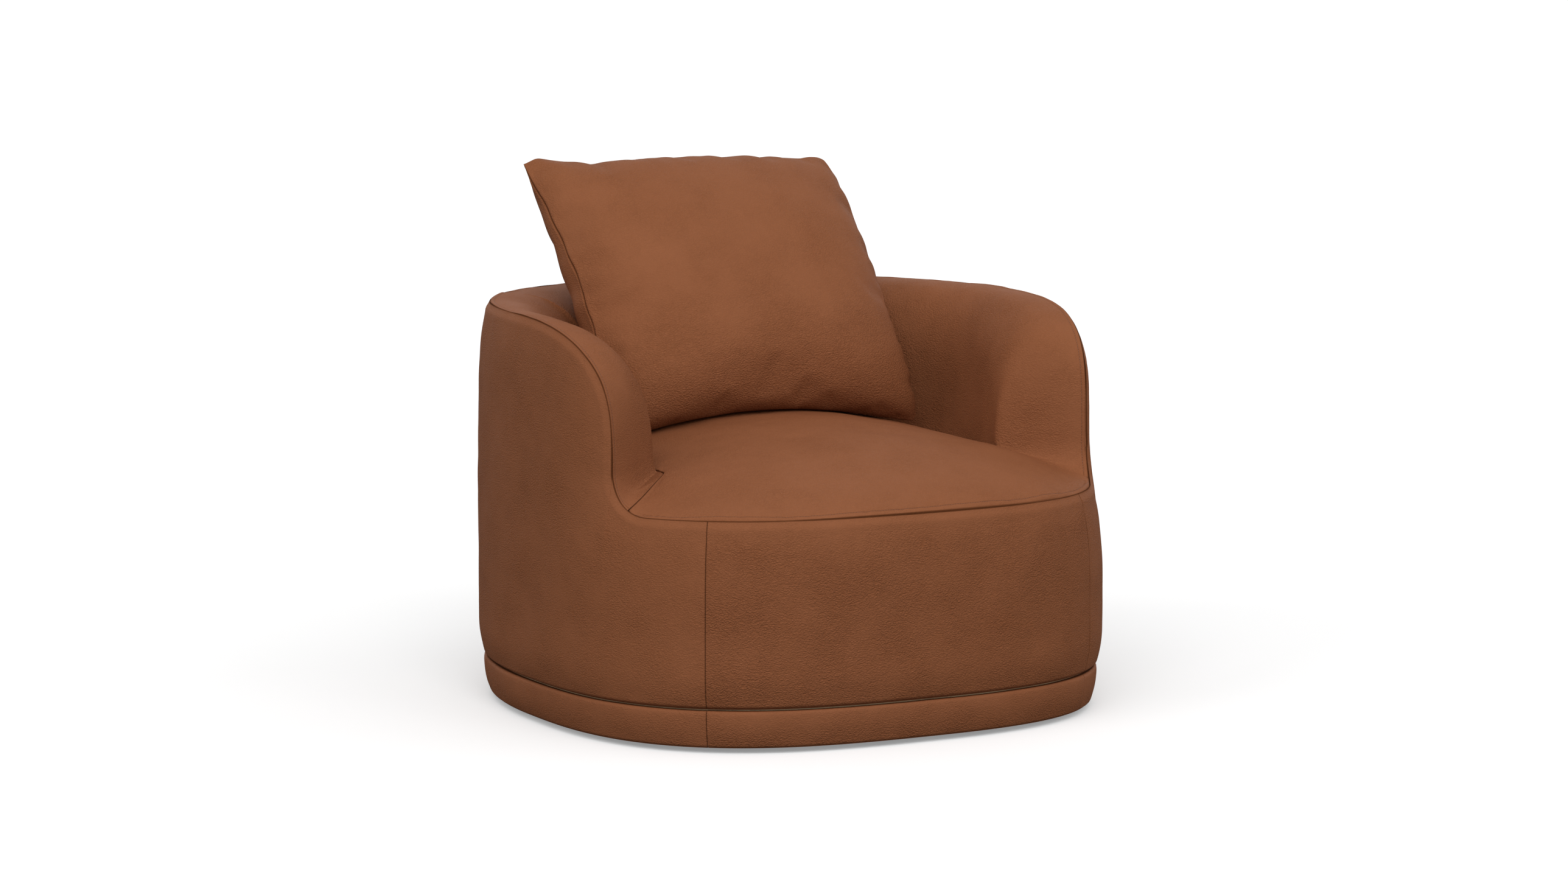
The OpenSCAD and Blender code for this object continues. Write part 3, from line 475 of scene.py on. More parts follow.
# Arm and back pads
class SeamLine:
    """The outer seam of a pad or panel, and places measured across from it."""

    def __init__(self, turns, tops, mitred=False):
        self.turns, self.tops, self.mitred = turns, tops, mitred
        self.run = run_along(plan(turns))
        size = np.maximum(np.hypot(np.gradient(self.run), np.gradient(tops)), 1e-9)
        self.ahead = -np.gradient(tops) / size
        self.up = np.gradient(self.run) / size

    def place(self, run, inset, height):
        """Points at a distance along the plan, in from the outline, and at a height."""
        p = plan(np.interp(run, self.run, self.turns))
        way = inward(p)
        seam = p + way * TOP_IN
        if self.mitred:
            turn = np.radians(MITRE_SWING) * (1 - smooth((self.run[-1] - run) / MITRE_SWING_RUN))
            x, y, cosine, sine = way[..., 0], way[..., 1], np.cos(turn), np.sin(turn)
            way = np.stack([x * cosine - y * sine, x * sine + y * cosine], -1)
        return np.concatenate([seam + way * (inset - TOP_IN)[..., None], (height + 0 * run)[..., None]], -1)

    def wall(self, run):
        """Thickness at the seat. A mitred end has a rounded tip."""
        p = plan(np.interp(run, self.run, self.turns))
        thickness = wall_thickness(p) + FRONT_SPLAY * (1 - smooth((p[..., 1] - SPLAY_FULL_Y) / SPLAY_FADE))
        if self.mitred:
            inside = np.clip(MITRE_TIP_R - (self.run[-1] - run), 0, MITRE_TIP_R)
            thickness = thickness - MITRE_TIP_R + np.sqrt(MITRE_TIP_R ** 2 - inside ** 2)
        return thickness

    def behind(self, depth):
        """Distances and heights of a line that far inside the seam, square to it."""
        return self.run - depth * self.ahead, self.tops - depth * self.up

    def rows(self, rows):
        """Points of rows given as run, inset, height and distance from the seam, and those distances."""
        run, inset, height, from_seam = (
            np.stack([part + 0 * self.run for part in parts], 1) for parts in zip(*rows))
        return self.place(run, inset, height), from_seam


def smooth_nose(grid, from_seam, from_mitre):
    """Evens out the arm's rounded nose in place, fading towards its seams and the mitre."""
    weight = smooth((from_seam - NOSE_START) / NOSE_START_FADE)
    weight = weight * smooth((NOSE_END - from_seam) / NOSE_END_FADE)
    weight = weight * smooth((from_mitre[:, None] - NOSE_FROM_MITRE) / NOSE_MITRE_FADE)
    weight = weight[1:-1, 1:-1, None]
    for _ in range(NOSE_SMOOTHING):
        around = (grid[:-2, 1:-1] + grid[2:, 1:-1] + grid[1:-1, :-2] + grid[1:-1, 2:]) / 4
        grid[1:-1, 1:-1] += weight * (around - grid[1:-1, 1:-1])


def pad_grid(line, at, length):
    """Leather of an arm or back pad: columns from the outer seam over the top and down to the seat."""
    s = sizes()
    run, tops = line.run, line.tops
    wall = line.wall(run)
    foot = line.place(run, wall, tops)
    seat = seat_height(foot[:, 0], foot[:, 1])
    h = np.minimum(s.edge_h, np.maximum(tops - seat, LEAST_EDGE_H))
    lean = mix(*INNER_LEAN, smooth((foot[:, 1] - INNER_LEAN_Y) / INNER_LEAN_RUN))
    inner = wall - lean * np.maximum(0, tops - h - seat)
    landed, forward, upright = 0 * run, 0 * run, 1 + 0 * run
    if line.mitred:
        from_mitre = length - at
        landed = 1 - smooth(from_mitre / FLANGE_RUN)
        elbow = int(np.argmax(tops <= ARM_ELBOW_H))
        curve = int(np.argmax(tops < s.rim_h - 1e-6))
        forward = np.clip((run - run[curve]) / (run[elbow] - run[curve]), 0, 1)
        forward = forward * np.minimum(1, from_mitre / FLANGE_RUN)
        upright = np.clip((tops - ARM_ELBOW_H) / (s.rim_h - ARM_ELBOW_H), 0, 1)
    top_run = CREST_W - TOP_IN
    rows = [(run, TOP_IN + SEAM_GAP + d * (1 - SEAM_GAP / top_run), tops, d)
            for d in graded(top_run, CREST_STEP, both=False)]
    for turn in np.radians(np.linspace(0, 90, ROUND_ROWS)[1:]):
        fall = 1 - math.cos(turn) ** ROUND_POWER
        inset = CREST_W + (inner - CREST_W) * math.sin(turn) ** ROUND_POWER
        rows.append((run - NOSE_RUN * fall * forward, inset, tops - h * fall * upright,
                     top_run + ROUND_COUNT * turn))
    place, from_seam = line.rows(rows)
    round_run = rows[-1][0]
    base = round_run.copy()
    if line.mitred:
        first = int(np.argmax(base > base[elbow] - FAN_RUN))
        share = (at[first:elbow] - at[first]) / (at[elbow] - at[first])
        base[first:elbow] = mix(base[first], base[elbow], share)
    base_wall = line.wall(base)
    base_place = line.place(base, base_wall, tops)
    base_height = seat_height(base_place[:, 0], base_place[:, 1]) - WALL_TUCK
    ground = seat_height(place[..., 0], place[..., 1])
    raised = soft_max(place[..., 2], ground - GROUND_GAP, GROUND_FILLET)
    place[..., 2] = mix(raised, ground, landed[:, None])
    last = place[:, -1, 2]
    low = np.minimum(base_height, last - LEAST_WALL_H)
    lower, lower_from_seam = line.rows([
        (mix(round_run, base, share), mix(inner, base_wall, share), mix(last, low, share),
         top_run + ROUND_END + ROUND_COUNT * share)
        for share in np.linspace(0, 1, WALL_ROWS)[1:]])
    grid = np.concatenate([place, lower], 1)
    from_seam = np.concatenate([from_seam, lower_from_seam], 1)
    if line.mitred:
        smooth_nose(grid, from_seam, from_mitre)
    from_end = np.minimum(at, length - at)[:, None]
    return grid, from_seam, edge_drop(from_seam) + edge_drop(from_end, UPRIGHT_R), base


def leather_relief(grid, from_seam, seed, soft=0.0007, pull=0.0002):
    """Small hollows and pulls of leather over foam, along the surface's normals."""
    near = np.exp(-from_seam / PULL_REACH)
    relief = soft * waves(grid, HOLLOW_WAVE, seed)
    relief += SMALL_HOLLOW_SHARE * soft * waves(grid, SMALL_HOLLOW_WAVE, seed + 1)
    relief += pull * near * waves(grid, PULL_WAVE, seed + 2) * np.clip(from_seam / PULL_START, 0, 1)
    return relief


def stitched_dent(from_seam):
    """The leather sinks a little along the topstitch and swells between it and the seam."""
    line = sizes().stitch_in
    return (-STITCH_SINK * np.exp(-((from_seam - line) / STITCH_SINK_REACH) ** 2)
            + STITCH_SWELL * np.exp(-((from_seam - line / 2) / STITCH_SWELL_REACH) ** 2))


def build_pad(name, turns, tops, seed, nodes, mitred=False, mirrored=False):
    """A padded arm or back with the topstitch along its outer seam."""
    s = sizes()
    turns, tops, at, length = along_line(turns, tops, s.mesh_step * (MITRED_STEP if mitred else 1))
    line = SeamLine(turns, tops, mitred)
    grid, from_seam, drop, base = pad_grid(line, at, length)
    normal = normals_of(grid)
    normal *= np.sign(normal[0, 12, 2])
    relief = leather_relief(grid, from_seam, seed) + stitched_dent(from_seam)
    skin = grid + normal * (relief - drop)[..., None]
    zero = 0 * line.run
    wall_run, wall_height = line.behind(SEAM_WALL)
    seam_wall = line.place(wall_run, zero + TOP_IN + SEAM_GAP, wall_height)
    skin = np.concatenate([seam_wall[:, None], skin], 1)
    drawn = LEAST_GRAIN + PAD_GRAIN * np.clip(from_seam / PAD_GRAIN_REACH, 0, 1)
    # The seam mask is painted shadow: full on the seam's wall, fading away from the seam, and again round the
    # topstitch
    masks = {"drawn": np.concatenate([drawn[:, :1], drawn], 1),
             "seam": np.concatenate([np.ones((len(zero), 1)), seam_shadow(from_seam, True)], 1)}
    deck = zero + DECK_H
    core_run, core_height = line.behind(CORE_DROP)
    core = [line.place(base, line.wall(base), deck), line.place(base, zero + CORE_LINE, deck),
            line.place(core_run, zero + CORE_LINE, core_height),
            line.place(core_run, zero + TOP_IN + CORE_EDGE_IN, core_height)]
    padded_tube(name, skin, np.stack(core, 1), masks, nodes, mirrored)
    row = int(np.argmin(np.abs(from_seam[0] - s.stitch_in)))
    side = [-1 if mirrored else 1, 1, 1]
    sew(name + "_topstitch", (grid + normal * relief[..., None])[:, row] * side, normal[:, row] * side)


def seam_shadow(distance, topstitch=False):
    """Share of painted shadow on leather at that distance from its cut edge: in the seam, and in the
    topstitch's groove.
    """
    stitched = STITCH_SHADOW * np.exp(-((distance - sizes().stitch_in) / STITCH_SHADOW_REACH) ** 2)
    return np.exp(-(distance / SEAM_SHADOW_REACH) ** 2) + (stitched if topstitch else 0)


def sew(name, line, normal):
    """A row of stitches along a line of points: short threads that dip into the leather."""
    s = sizes()
    run = run_along(line)
    count = int((run[-1] - 2 * STITCH_FROM_END) / s.stitch_pitch)
    centres = STITCH_FROM_END + s.stitch_pitch * (np.arange(count) + 0.5)
    bm = bmesh.new()
    for at in centres:
        place, ahead, up = (
            Vector(read_along(t, run, values))
            for values, t in ((line, at), (line, at + 0.001), (normal, at)))
        along = (ahead - place).normalized()
        up = (up - along * up.dot(along)).normalized()
        side = along.cross(up)
        axes = (side * THREAD_W, up * THREAD_H, along * s.stitch_pitch * THREAD_FILL)
        turn = Matrix(axes).transposed().to_4x4()
        turn.translation = place + up * THREAD_LIFT
        bmesh.ops.create_uvsphere(bm, u_segments=6, v_segments=5, radius=1, matrix=turn)
    return new_piece(name, bm, BODY, "leather", thread())


class ARMCHAIR_OT_arm_pads(bpy.types.Operator):
    """Leather pads over both arms, from the outer seam to the seat"""
    bl_idname = "armchair.arm_pads"
    bl_label = "Arm pads"

    def execute(self, context):
        turns, tops = side_line(mitre_turn())
        kept = turns <= -SIDE_END
        turns, tops = turns[kept], tops[kept]
        build_pad("arm_pad_left", turns, tops, 11, ["arm_cover_left", "arm_foam_left"], mitred=True)
        build_pad("arm_pad_right", turns, tops, 17, ["arm_cover_right", "arm_foam_right"], True, True)
        return {"FINISHED"}


class ARMCHAIR_OT_back_pad(bpy.types.Operator):
    """Leather pad over the back between the arms"""
    bl_idname = "armchair.back_pad"
    bl_label = "Back pad"

    def execute(self, context):
        turns = np.linspace(SIDE_END, -SIDE_END, 400)
        tops = np.full(400, sizes().rim_h)
        build_pad("back_pad", turns, tops, 23, ["back_cover", "back_foam"])
        return {"FINISHED"}


# Outside panels and plinth
def outside_in(turns, tops, z):
    """How far in the outside lies, how fast that grows along the plan, and how far away the seam is."""
    s = sizes()
    seam = SeamLine(*side_line(-180))
    column_run = np.interp(np.abs((turns + 180) % 360 - 180), -seam.turns, seam.run)
    nearest = np.stack([
        np.hypot(seam.run[::3, None] - run, seam.tops[::3, None] - heights).argmin(0) * 3
        for run, heights in zip(column_run, z)])
    ahead, up = seam.ahead[nearest], seam.up[nearest]
    below = np.clip((seam.run[nearest] - column_run[:, None]) * ahead + (seam.tops[nearest] - z) * up, 0, 1)
    lean = TOP_LEAN * (np.clip(z - LEAN_START_H, 0, 1) / (tops[:, None] - LEAN_START_H)) ** LEAN_POWER
    tuck = CREASE_TUCK * (np.clip(TUCK_START_H - z, 0, 1) / (TUCK_START_H - s.crease_h)) ** 2
    limit = SHELL_ROOM + (TOP_IN - SHELL_ROOM) * (1 - smooth(below / SHELL_SETBACK))
    roll = TOP_ROLL * np.exp(-below / ROLL_REACH)
    reach = 0.0001 + LIMIT_FILLET * smooth(below / SHELL_SETBACK)
    return -soft_max(-lean - roll - tuck, -limit, reach), roll / ROLL_REACH * ahead, below


def plinth_in(turns, tops, z):
    """The same three values for the plinth, which is fullest a little under the crease."""
    s = sizes()
    above = PLINTH_ROLL_IN * (np.clip(z - PLINTH_FULL_H, 0, 1) / PLINTH_ROLL_H) ** 2
    below = PLINTH_UNDERCUT * (np.clip(PLINTH_FULL_H - z, 0, 1) / (PLINTH_FULL_H - s.floor_gap)) ** 2
    return PLINTH_IN + above + below, 0 * z, s.crease_h - z


def band_rows(low, high, step):
    """Heights of each column, graded towards both edges, with the distances above the lower edge."""
    lengths = high - low
    rows = graded(float(lengths.max()), step)
    edge = len(EDGE_SPACING)
    middle = (rows[edge - 1:len(rows) - edge + 1] - rows[edge - 1]) / (rows[-edge] - rows[edge - 1])
    lengths = lengths[:, None]
    inner = EDGE_SPACING[-1] + (lengths - 2 * EDGE_SPACING[-1]) * middle
    start = np.broadcast_to(EDGE_SPACING[:-1], (len(low), edge - 1))
    end = lengths - start[:, ::-1]
    up = np.concatenate([start, inner, end], 1)
    return low[:, None] + up, up


def build_band(name, turns, tops, low, high, inset_of, back_in, radii, seed, nodes,
               mirrored=False, grain=0.4):
    """A padded outside skin between two heights and two upright seams."""
    s = sizes()
    turns, tops, at, run = along_line(turns, tops, s.mesh_step * BAND_STEP)
    z, from_low = band_rows(low + 0 * tops, high(tops), s.mesh_step * BAND_STEP)
    p = plan(turns)
    way = inward(p)
    inset, inset_ahead, from_high = inset_of(turns, tops, z)
    grid = np.concatenate([p[:, None] + way[:, None] * inset[..., None], z[..., None]], -1)
    inset_up = np.stack([np.gradient(*column) for column in zip(inset, z)])
    forward = unit(np.gradient(p, axis=0))
    normal = inset_ahead[..., None] * forward[:, None] - way[:, None]
    normal = unit(np.concatenate([normal, inset_up[..., None]], -1))
    from_end = np.minimum(at, run - at)[:, None]
    from_seam = np.minimum(from_high, from_end)
    relief = leather_relief(grid, from_seam, seed) * smooth(from_low / BAND_CALM)
    drop = edge_drop(from_low, radii[0]) + edge_drop(from_high, radii[1]) + edge_drop(from_end, UPRIGHT_R)
    skin = grid + normal * (relief - drop)[..., None]
    behind = np.concatenate([way, 0 * way[:, :1]], 1)[:, None] * BAND_EDGE_IN
    top_edge, low_edge = skin[:, -1:] + behind, skin[:, :1] + behind
    if radii[1] <= SEAM_R:
        seam = SeamLine(turns, tops)
        wall_run, wall_height = seam.behind(SEAM_WALL)
        top_edge = seam.place(wall_run, inset[:, -1] + SEAM_R, wall_height)[:, None]
    skin = np.concatenate([low_edge, skin, top_edge], 1)
    near = LEAST_GRAIN + grain * smooth(from_high / BAND_GRAIN_REACH)
    ones = np.ones((len(at), 1))
    # Painted shadow along the seams, full on the edge walls and half as strong at the upright seams
    shadow = seam_shadow(np.minimum(from_high, from_low))
    shadow = np.maximum(shadow, UPRIGHT_SHADOW * seam_shadow(from_end))
    masks = {"drawn": np.concatenate([near[:, :1], near, near[:, -1:]], 1),
             "seam": np.concatenate([ones, shadow, ones], 1)}
    picked = np.linspace(z.shape[1] - 1, 0, 9).astype(int)
    deep = np.maximum(back_in, inset[:, picked] + BAND_LEAST_T)
    core = np.concatenate([p[:, None] + way[:, None] * deep[..., None], z[:, picked, None]], -1)
    core[:, :1, 2] = skin[:, -1:, 2]
    return padded_tube(name, skin, core, masks, nodes, mirrored)


def front_turns():
    """Angles across the front, between its upright seams."""
    half = 180 + front_seam_turn() - UPRIGHT_GAP
    return np.linspace(180 + half, 180 - half, 400)


class ARMCHAIR_OT_outside(bpy.types.Operator):
    """Leather panels round the outside, with their seams"""
    bl_idname = "armchair.outside"
    bl_label = "Outside panels"

    def execute(self, context):
        s = sizes()
        low = s.crease_h + CREASE_GAP
        turns, tops = side_line(front_seam_turn() + UPRIGHT_GAP)
        shape = (low, lambda top: top - SEAM_GAP, outside_in, PAD_BACK, (CREASE_R, SEAM_R))
        build_band("outside_left", turns, tops, *shape, 31, ["outside_panel_left", "outside_padding_left"])
        build_band("outside_right", turns, tops, *shape, 37, ["outside_panel_right", "outside_padding_right"],
                   mirrored=True)
        turns = front_turns()
        build_band("front", turns, 0 * turns + s.seam_h, *shape, 41, ["front_panel", "front_padding"],
                   grain=0.75)
        return {"FINISHED"}


class ARMCHAIR_OT_plinth(bpy.types.Operator):
    """Leather round the plinth, under the crease"""
    bl_idname = "armchair.plinth"
    bl_label = "Plinth covers"

    def execute(self, context):
        s = sizes()
        shape = (s.floor_gap, lambda top: 0 * top + s.crease_h - CREASE_GAP, plinth_in, PLINTH_BACK,
                 (PLINTH_LOW_R, PLINTH_R))
        side = front_seam_turn() + UPRIGHT_GAP
        turns = np.linspace(-side, side, 900)
        build_band("plinth_sides", turns, 0 * turns + s.rim_h, *shape, 43,
                   ["plinth_side_cover", "plinth_padding"])
        turns = front_turns()
        build_band("plinth_front", turns, 0 * turns + s.seam_h, *shape, 47, ["plinth_front_cover"], grain=0.7)
        return {"FINISHED"}


# Seat
SEAT_RINGS = 112
SEAT_MIDDLE = np.array([0, -0.25])
SEAT_ROLLED = np.concatenate([[0, 0, 0], EDGE_SPACING, [0.016, 0.020]])
SEAT_SQUEEZE = 0.3
SEAT_WALL_STEP = 0.0058
SEAT_WALL_FOOT = 0.012
SEAT_LINE_STEP = 0.004
PAD_GAP = 0.0008
MITRE_GAP = 0.0009
SEAT_STITCH_UP = (0, -0.25, 0.97)
SEAT_HOLLOWS = 0.0013
SEAT_PULLS = 0.0006
SEAT_CALM = 0.004
SEAT_GRAIN = 0.3
SEAT_GRAIN_REACH = 0.05


def mitre_corner():
    """Plan position of the mitre seam's outer end, on the -X side."""
    corner = plan(np.array([mitre_turn()]))
    return (corner + inward(corner) * TOP_IN)[0] - [0, 0.001]


def seat_outline():
    """Closed outline of the seat, from the front's middle round by -X."""
    turn = mitre_turn()
    front = plan(np.linspace(-180, turn - 0.1, 400))
    front = front + inward(front) * (TOP_IN + SEAM_GAP)
    line = SeamLine(*along_line(*side_line(turn), SEAT_LINE_STEP)[:2], mitred=True)
    run = np.linspace(line.run[-1], 0, 700)
    feet = line.place(run, line.wall(run) + PAD_GAP, 0 * run)[:, :2]
    start = line.place(run[:1], np.array([TOP_IN]), 0 * run[:1])[0, :2]
    way = unit(feet[0] - start)
    mitre = mix(start, feet[0], np.linspace(0.003, 1, 60)[:, None])[:-1]
    mitre = mitre + np.array([way[1], -way[0]]) * MITRE_GAP
    half = np.concatenate([front, mitre, feet])
    return np.concatenate([half, (half * [-1, 1])[-2:0:-1]])


def spread_round(outline, count):
    """Points of a closed outline at equal steps, with their outward normals."""
    loop = np.concatenate([outline, outline[:1]])
    run = run_along(loop)
    points = read_along(np.arange(count) / count * run[-1], run, loop)
    way = np.roll(points, -1, 0) - np.roll(points, 1, 0)
    normal = unit(np.stack([way[:, 1], -way[:, 0]], -1))
    if ((points - points.mean(0)) * normal).sum() < 0:
        normal = -normal
    return points, normal


def square_rings(rings):
    """Each grid point's square ring round the middle, and the share of that ring that lies before it."""
    index = np.arange(-rings, rings + 1)
    i, j = np.meshgrid(index, index)
    ring = np.maximum(np.abs(i), np.abs(j))
    k = np.maximum(ring, 1)
    sides = [(j == -ring) & (i <= 0), i == -ring, j == ring, i == ring]
    shares = [-i / k, 1 + (j + k) / k, 3 + (i + k) / k, 5 + (k - j) / k]
    return ring, np.select(sides, shares, 7 + (k - i) / k) / 8


class ARMCHAIR_OT_seat(bpy.types.Operator):
    """Tight crowned seat, from the front seam to the arms and back"""
    bl_idname = "armchair.seat"
    bl_label = "Seat"

    def execute(self, context):
        ring, round_by = square_rings(SEAT_RINGS)
        count = 8 * SEAT_RINGS
        edge, outward = (
            read_along(round_by * count, np.arange(count + 1), np.concatenate([loop, loop[:1]]))
            for loop in spread_round(seat_outline(), count))
        from_rim = SEAT_RINGS - ring
        near = from_rim < len(SEAT_ROLLED)
        corner = mitre_corner()
        to_corner = np.stack([np.abs(edge[..., 0]) + corner[0], edge[..., 1] - corner[1]], -1)
        squeeze = np.minimum(1, SEAT_SQUEEZE * np.linalg.norm(to_corner, axis=-1) / SEAT_ROLLED[-1])
        d = SEAT_ROLLED[np.clip(from_rim, 0, len(SEAT_ROLLED) - 1)] * squeeze
        kept = edge - outward * d[..., None]
        deep = edge - outward * (SEAT_ROLLED[-1] * squeeze)[..., None]
        share = np.clip(ring / (SEAT_RINGS - len(SEAT_ROLLED) + 1), 0, 1)[..., None]
        flat = np.where(near[..., None], kept, SEAT_MIDDLE + (deep - SEAT_MIDDLE) * share)
        z = seat_height(flat[..., 0], flat[..., 1])
        from_edge = np.where(near, d, SEAT_ROLLED[-1] + np.linalg.norm(deep - flat, axis=-1))
        front = edge[..., 1] < corner[1]
        grid = np.concatenate([flat, z[..., None]], -1)
        relief = leather_relief(grid, from_edge, 53, SEAT_HOLLOWS, SEAT_PULLS) * smooth(from_edge / SEAT_CALM)
        relief += np.where(front, stitched_dent(from_edge), 0)
        sunk = np.select([from_rim == 1, from_rim == 2], [SEAM_WALL, SEAT_WALL_STEP])
        z = z + relief - edge_drop(from_edge) - np.where(from_rim <= 2, sunk - SEAM_R, 0)
        z = np.where(from_rim == 0, DECK_H + SEAT_WALL_FOOT, z)
        points = np.concatenate([flat, z[..., None]], -1)
        # The seam mask is painted shadow along the seat's seams, with the topstitch's groove at the front
        masks = {"drawn": LEAST_GRAIN + SEAT_GRAIN * np.exp(-from_edge / SEAT_GRAIN_REACH) * ~front,
                 "seam": np.where(front, seam_shadow(from_edge, True), seam_shadow(from_edge))}
        bm = grid_bmesh(points, masks)
        close_and_turn_out(bm)
        piece = new_piece("seat", bm, BODY, "leather", leather(), "seat_cover", "seat_foam")
        stitched = int(np.argmin(np.abs(SEAT_ROLLED - sizes().stitch_in)))
        path = points[(from_rim == stitched) & (edge[..., 1] < corner[1] - 0.004)]
        path = path[np.argsort(path[:, 0])]
        sew("seat_topstitch", path, np.tile(SEAT_STITCH_UP, (len(path), 1)))
        return {"FINISHED"}


# Pillow, with its side line as curve points in y and z, and its top edge as share across and rise
PILLOW_LINE = np.array([[0.067, 0.428], [0.077, 0.555], [0.175, 0.700], [0.372, 0.862]])
PILLOW_TOP_EDGE = ((-1, 0), (-0.9, 0.007), (-0.58, -0.002), (-0.25, 0.0055), (0.18, 0.006), (0.64, -0.002),
                   (0.82, -0.007), (0.95, -0.004), (1, -0.006))
PILLOW_HALF_H = 0.262
PILLOW_CORNERS = {"top_left": 0.001, "top_right": 0.007, "low": 0.006}
CORNER_POWER = 16
LOW_DRAW = 0.14
TOP_DRAW = 0.03
SIDE_DRAW = 0.028
LEFT_DRAW = 0.028
LEFT_BELLY = 0.032
RIGHT_BELLY = 0.010
LOW_FORWARD = 0.026
FULL_POWER = 2.6
FULL_LOW_POWER = 3.6
FULL_SIDE_POWER = 4.5
RIPPLE = 0.0012
PUCKER = 0.0016
SEAM_LIP = 0.0008
SEAM_PULL = 0.0018
PILLOW_CLEARANCE = 0.0018
PILLOW_REST_FILLET = 0.008
PUFF_CELLS = 90
PUFF_CAP = 0.006
PUFF_FRAMES = 20
PUFF_SETTINGS = {
    "quality": 6,
    "mass": 0.5,
    "tension_stiffness": 30,
    "compression_stiffness": 30,
    "bending_stiffness": 8,
    "vertex_group_mass": "held",
    "use_pressure": True,
    "uniform_pressure_force": 4,
    "shrink_min": -0.007,
}


def bezier(points, f):
    """Places and slopes along a Bezier curve, in one coordinate of its four points."""
    g = 1 - f
    way = 3 * np.diff(points)
    place = g ** 3 * points[0] + 3 * g * g * f * points[1] + 3 * g * f * f * points[2] + f ** 3 * points[3]
    return place, g ** 2 * way[0] + 2 * g * f * way[1] + f * f * way[2]


def pillow_place(u, v, h):
    """Points of the pillow at u across and v up, both from -1 to 1, h in front of its seam surface."""
    draw = np.where(v < 0, LOW_DRAW, TOP_DRAW)
    corner = (np.abs(u) * np.abs(v)) ** CORNER_POWER
    top_cut = mix(PILLOW_CORNERS["top_left"], PILLOW_CORNERS["top_right"], smooth(u / 2 + 0.5))
    cut = np.where(v > 0, top_cut, PILLOW_CORNERS["low"])
    edge = np.interp(u, *zip(*PILLOW_TOP_EDGE)) * smooth(v) ** 3
    f = 0.5 + 0.5 * (v * (1 - draw * (1 - u * u)) + (edge - np.sign(v) * cut * corner) / PILLOW_HALF_H)
    (y, slope_y), (z, slope_z) = (bezier(PILLOW_LINE[:, k], f) for k in (0, 1))
    size = np.hypot(slope_y, slope_z)
    side = SIDE_DRAW + LEFT_DRAW * smooth(-u)
    x = u * sizes().pillow_w / 2 * (1 - side * (1 - v * v)) - np.sign(u) * cut * corner
    y = y - LOW_FORWARD * smooth(-v) * (0.4 + 0.6 * u * u)
    return np.stack([x, y - slope_z / size * h, z + slope_y / size * h], -1)


def edge_distance(grid, axis):
    """Distance over the surface from the nearer edge, along one direction of a grid of points."""
    step = np.linalg.norm(np.diff(grid, axis=axis), axis=-1)
    run = np.insert(np.cumsum(step, axis=axis), 0, 0, axis=axis)
    return np.minimum(run, run.max(axis=axis, keepdims=True) - run)


def pillow_panel(u, v, side):
    """One leather panel of the pillow and its distances from the seam."""
    s = sizes()
    thickness = s.pillow_front if side > 0 else s.pillow_rear
    low_power = FULL_LOW_POWER if side > 0 else FULL_POWER
    side_power = mix(FULL_POWER, FULL_SIDE_POWER, smooth(-v))
    share = (1 - np.abs(u) ** side_power) * (1 - np.abs(v) ** np.where(v < 0, low_power, FULL_POWER))
    full = share / (share + 0.02) ** 0.4
    grid = pillow_place(u, v, side * thickness * full)
    from_side = (1 - np.abs(u)) * s.pillow_w / 2
    if side < 0:
        belly = np.where(u < 0, LEFT_BELLY, RIGHT_BELLY) * (1 - v * v) ** 0.8
        out = (1 - np.exp(-from_side / 0.010)) * np.exp(-from_side / 0.057)
        grid[..., 0] += np.sign(u) * belly * out
    from_seam = np.minimum(edge_distance(grid, 0), edge_distance(grid, 1))
    along = np.stack([v * PILLOW_HALF_H, from_side * 0.3, 0 * u], -1)
    top_along = np.stack([u * s.pillow_w / 2, (1 - v) * PILLOW_HALF_H * 0.3, 0 * u], -1)
    free = smooth((v + 0.95) / 0.3)
    ring = np.exp(-from_seam / 0.045) * free
    grid[..., 0] += ring * RIPPLE * waves(along[..., :1], 0.075, 71) * np.sign(u)
    grid[..., 1] += ring * RIPPLE * waves(top_along[..., :1] + along[..., :1], 0.120, 73)
    grid[..., 2] += ring * RIPPLE * waves(top_along[..., :1], 0.090, 77) * smooth(v)
    from_top = (1 - v) * PILLOW_HALF_H
    pucker = np.exp(-from_side / 0.034) * waves(along, 0.038, 79 + side)
    pucker += 0.8 * np.exp(-from_top / 0.030) * waves(top_along, 0.050, 83 + side)
    pull = np.exp(-from_side / 0.075) * waves(along, 0.085, 97) + 0.7 * waves(grid, 0.19, 89 + side) * full
    shift = PUCKER * pucker * free * (1 - np.exp(-from_seam / 0.005))
    shift += PUCKER * pull * smooth(from_seam / 0.02)
    middle = unit(pillow_place(u * 0.9, v * 0.9, 0 * u) - pillow_place(u, v, 0 * u))
    normal = normals_of(grid) * -side
    lip = SEAM_LIP * np.exp(-((from_seam - 0.0045) / 0.0025) ** 2)
    grid += normal * (shift + lip)[..., None]
    grid += middle * (SEAM_PULL * np.exp(-(from_seam / 0.0012) ** 2))[..., None]
    return grid, from_seam


def join_panels(grids, masks):
    """Sews grids of points into one closed bmesh, edge to edge."""
    bm = bmesh.new()
    for grid, values in zip(grids, masks):
        mesh = mesh_of("panel", grid_bmesh(grid, values))
        bm.from_mesh(mesh)
        bpy.data.meshes.remove(mesh)
    bmesh.ops.remove_doubles(bm, verts=bm.verts[:], dist=1e-6)
    bmesh.ops.recalc_face_normals(bm, faces=bm.faces[:])
    bm.verts.index_update()
    return bm


